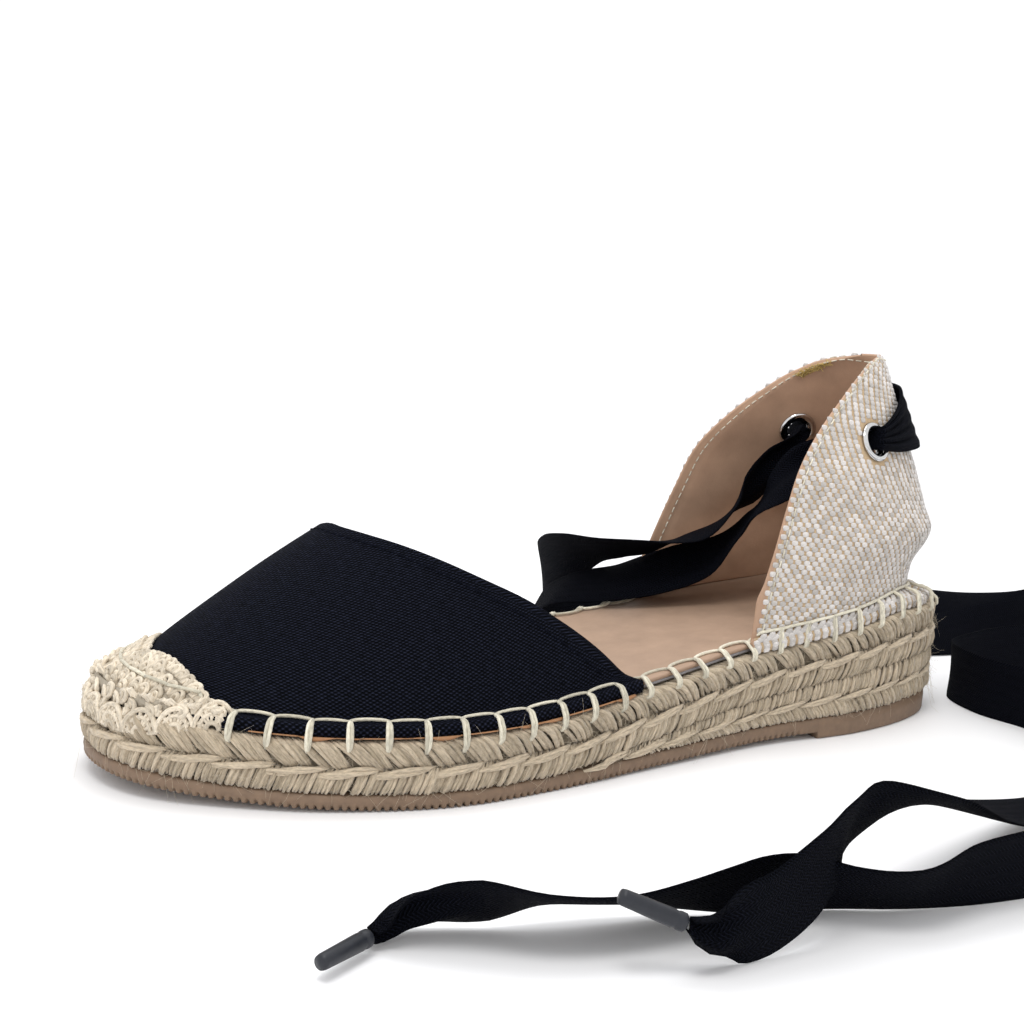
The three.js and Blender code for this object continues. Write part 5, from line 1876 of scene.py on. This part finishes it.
def blanket_stitches(cap_face):
    count, fine = int(edge.length / STITCH_PITCH), 8
    pitch = edge.length / count
    samples, zones = stitch_line(cap_face, count, fine)
    build = Build()
    paths, normals = [], []
    steps = np.arange(fine + 1)
    arch = np.sin(np.pi * steps / fine) ** 0.6
    for i in range(count):
        index = (i * fine + steps) % (count * fine)
        zone = ZONES[zones[index[fine // 2]]]
        s = pitch * (i + steps / fine)
        depth = mix(np.interp(steps, (0, fine), samples[index[[0, -1]], 1]), samples[index, 1], 0.85)
        height = samples[index, 2] + zone["arch"] * arch + dice.normal(0, 0.12)
        line = edge.skin(s, height, -(depth + zone["bow"] * arch))
        paths.append(line)
        normals.append(np.concatenate([edge.normal(s), np.full((fine + 1, 1), 0.8)], -1))
    build.tubes(np.array(paths), unit(np.array(normals)), 0.44, 0.44, 8)
    verticals, facing = [], []
    t = np.linspace(0, 1, 14)
    knots = (0, 0.28, 0.5, 0.78, 1)
    for i in range(count):
        s, depth, z = samples[i * fine]
        down = ZONES[zones[i * fine]]["down"]
        if down is None:
            continue
        top = jute_top(float(edge.x(s)))
        over = {
            "waist": (2.3, top + 2.75),
            "vamp": (1.0, top + 3.1),
            "quarter": (min(0.0, 7.5 - depth), top + 3.2),
        }
        inset, ledge = over[zones[i * fine]]
        down = down * dice.uniform(0.8, 1.2)
        slant = dice.uniform(0.2, 1.3)
        for twin in (-1, 1):
            reach = np.interp(t, knots, (0.1 - depth, -min(depth, inset + 0.3), 0.55, 0.75, -0.5))
            levels = (z + 0.1, max(ledge, z - 1.0) + 0.25, top + 1.0, top - 0.5 * down, top - down)
            height = np.interp(t, knots, levels)
            sway = twin * (0.34 * np.sin(np.pi * np.clip(t * 1.05, 0, 1)) + 0.1) + slant * t
            drawn = drawn_in(0)(share_of(edge.x(s))) * 0.6
            verticals.append(edge.skin(s + sway, height, reach - drawn))
            facing.append(np.concatenate([edge.normal(s + sway), mix(1.2, 0, t)[:, None]], -1))
    build.tubes(np.array(verticals), unit(np.array(facing)), 0.46, 0.46, 8)
    finish_piece(build.piece("blanket_stitch", [cream_thread]))


def crochet_shells(cap_face):
    """Fans of crochet along the cap's foot: an outer and an inner arc, with spokes between them."""
    tree, vamp = grid_tree(cap_face), surface_tree("vamp")
    count = int(edge.length / STITCH_PITCH)
    pitch = edge.length / count
    build = Build()

    def spot(s, above, off):
        x = float(edge.x(s))
        above = above - shell_drop(x)
        level = jute_top(x) + above
        probe = max(level, jute_top(x) + 0.8) - seat_z(x)
        found = wall_depth(tree, s, probe)
        if found is None:
            found = wall_depth(vamp, s, probe)
            if found is None:
                return None
            found -= 0.5
        hung = ease((1.4 - above) / 3.4) * np.clip(shell_drop(x) / 2, 0, 1)
        return edge.skin(np.array(s), level, off - mix(found, 0.9, hung))

    def run(places, off, girth):
        path = [spot(s, above, off) for s, above in places]
        known = [k for k, place in enumerate(path) if place is not None]
        if len(known) < 4:
            return
        span = np.arange(known[0], known[-1] + 1)
        found = np.array([path[k] for k in known])
        path = np.stack([np.interp(span, known, found[:, i]) for i in range(3)], -1)
        at = places[len(places) // 2][0]
        outward = np.append(edge.normal(np.array(at)), 0.7)
        build.tubes(path[None], unit(outward), girth, girth, 8)

    for i in range(count):
        middle = pitch * (i + 0.5)
        if edge.x(middle) < CAP_REAR_SIDE + 1:
            continue
        for side in (-1, 1):
            if edge.x(middle + side * pitch / 2) < CAP_REAR_SIDE:
                continue
            for drop in (3.4, 4.5):
                run([(middle + side * (pitch / 2 - k * 0.2), drop + k * 0.5) for k in range(4)], 0.3, 0.6)
        for radius, off, girth in ((4.6, 0.45, 0.66), (3.2, 0.35, 0.55), (1.6, 0.5, 0.62)):
            turns = np.linspace(0.02, np.pi - 0.02, 15)
            places = [(middle + radius * math.cos(a), radius * 1.2 * math.sin(a) - 0.5) for a in turns]
            run(places, off, girth)
        for a in np.linspace(0.1, np.pi - 0.1, 9):
            lean = dice.normal(0, 0.05)
            places = [
                (middle + r * math.cos(a + lean), r * 1.2 * math.sin(a + lean) - 0.5)
                for r in np.linspace(1.7, 4.2, 6)
            ]
            run(places, 0.3, 0.5)
    finish_piece(build.piece("crochet_shells", [crochet_yarn]))


def margin_slivers():
    """The tan lining that peeps out under the vamp's folded margin."""
    build = Build()
    for side in (0, 1):
        s = np.linspace(side * edge.length / 2, (side + 1) * edge.length / 2, 260)
        x = edge.x(s)
        ok = (x > MARGIN_REAR_X + 2) & (x < CAP_REAR_SIDE - 4)
        s, x = s[ok], x[ok]
        peep = -0.35 + 0.62 * np.clip(np.sin(s * 0.23) + 0.6 * np.sin(s * 0.61 + 1), 0, 1.4)
        low = jute_z(x) - peep
        level = [(1.6, low), (0.12, low), (0.12, jute_z(x) + 0.25), (1.6, jute_z(x) + 0.25), (1.6, low)]
        rows = np.array([edge.skin(s, z, -d) for d, z in level])
        build.grid(rows.transpose(1, 0, 2), np.arange(5.0)[None], s[:, None])
        for k in (0, -1):
            cap = rows[:4, k]
            build.add(cap, [[0, 1, 2, 3]], np.zeros((4, 2)))
    finish_piece(build.piece("margin_lining", [orange_lining], weld=0.005))


# ---------------------------------------------------------------- everything together

add_camera()
add_lights()
add_floor()

black_tape = tape()
black_canvas = canvas()
black_thread = plain("black_thread", shade(INK, 1.5), 0.9, specular=0.03)
tan_lining = lining_cloth()
insole_leather = lining_cloth("insole_leather", (0.375, 0.255, 0.18))
orange_lining = lining_cloth("orange_lining", (0.36, 0.18, 0.085))
grey_foam = plain("grey_foam", (0.30, 0.29, 0.30), 0.9)
rubber = plain("rubber", RUBBER, 0.55, 400, 0.1)
aglet_plastic = plain("aglet_plastic", (0.018, 0.02, 0.026), 0.42, 600, 0.03, specular=0.35)
nickel = plain("nickel", (0.6, 0.6, 0.6), 0.14, 300, 0.005, metallic=1.0)
jute_inside_painted_shade = jute_core_painted_shade()
jute_yarn = yarn("jute_yarn", JUTE, 3.4)
crochet_yarn = yarn("crochet_yarn", COTTON, 1.9, fibre=0.08)
# The cap's shell is the loops' cotton at 0.55 of its colour: painted shade between the crochet loops.
crochet_base_painted_shade = plain("crochet_base_painted_shade", shade(COTTON, 0.55), 1.0, 900, 0.6, specular=0.05)
cream_thread = yarn("cream_thread", THREAD, 1.7, fibre=0.05)
white_weft = yarn("white_weft", (0.625, 0.595, 0.575), 1.1, fibre=0.03)
basket_base = plain("basket_base", (0.50, 0.37, 0.235), 0.95, 1500, 0.15, specular=0.1)
glue_lint = plain("glue_lint", (0.50, 0.36, 0.12), 0.8)
fibre_fluff = plain("fibre_fluff", (0.55, 0.48, 0.37), 0.8)

left_aglet = aglet_piece("aglet_tip_left", LACE_LEFT, "aglet_left")
right_aglet = aglet_piece("aglet_tip_right", LACE_RIGHT, "aglet_right")
ribbon_piece("ribbon_left", LACE_LEFT, "lace_end_left")
ribbon_piece("ribbon_right", LACE_RIGHT, "lace_end_right")

outsole_piece()
core_piece("braid_core", braid_under, jute_top, LENGTH + 1, "jute_braid", 1.6)
core_piece("lift_core", lift_under, lift_top, LIFT_END * LENGTH, "jute_lift", 1.5)
upper_braid()
heel_lift()
fuzz_piece()
insole_piece()
vamp_face = vamp_piece()
throat_stitches(vamp_face)
cap_face = cap_piece()
crochet_piece(cap_face)
crochet_shells(cap_face)
cap_border(cap_face)
quarter_piece()
basket_cells([eyelet_frame("eyelet_left"), eyelet_frame("eyelet_right")])
quarter_margin_cells()
quarter_stitches()
glue_tuft()
eyelet_piece("eyelet_ring_left", "eyelet_left")
eyelet_piece("eyelet_ring_right", "eyelet_right")
lace_bar_piece()
blanket_stitches(cap_face)
margin_slivers()
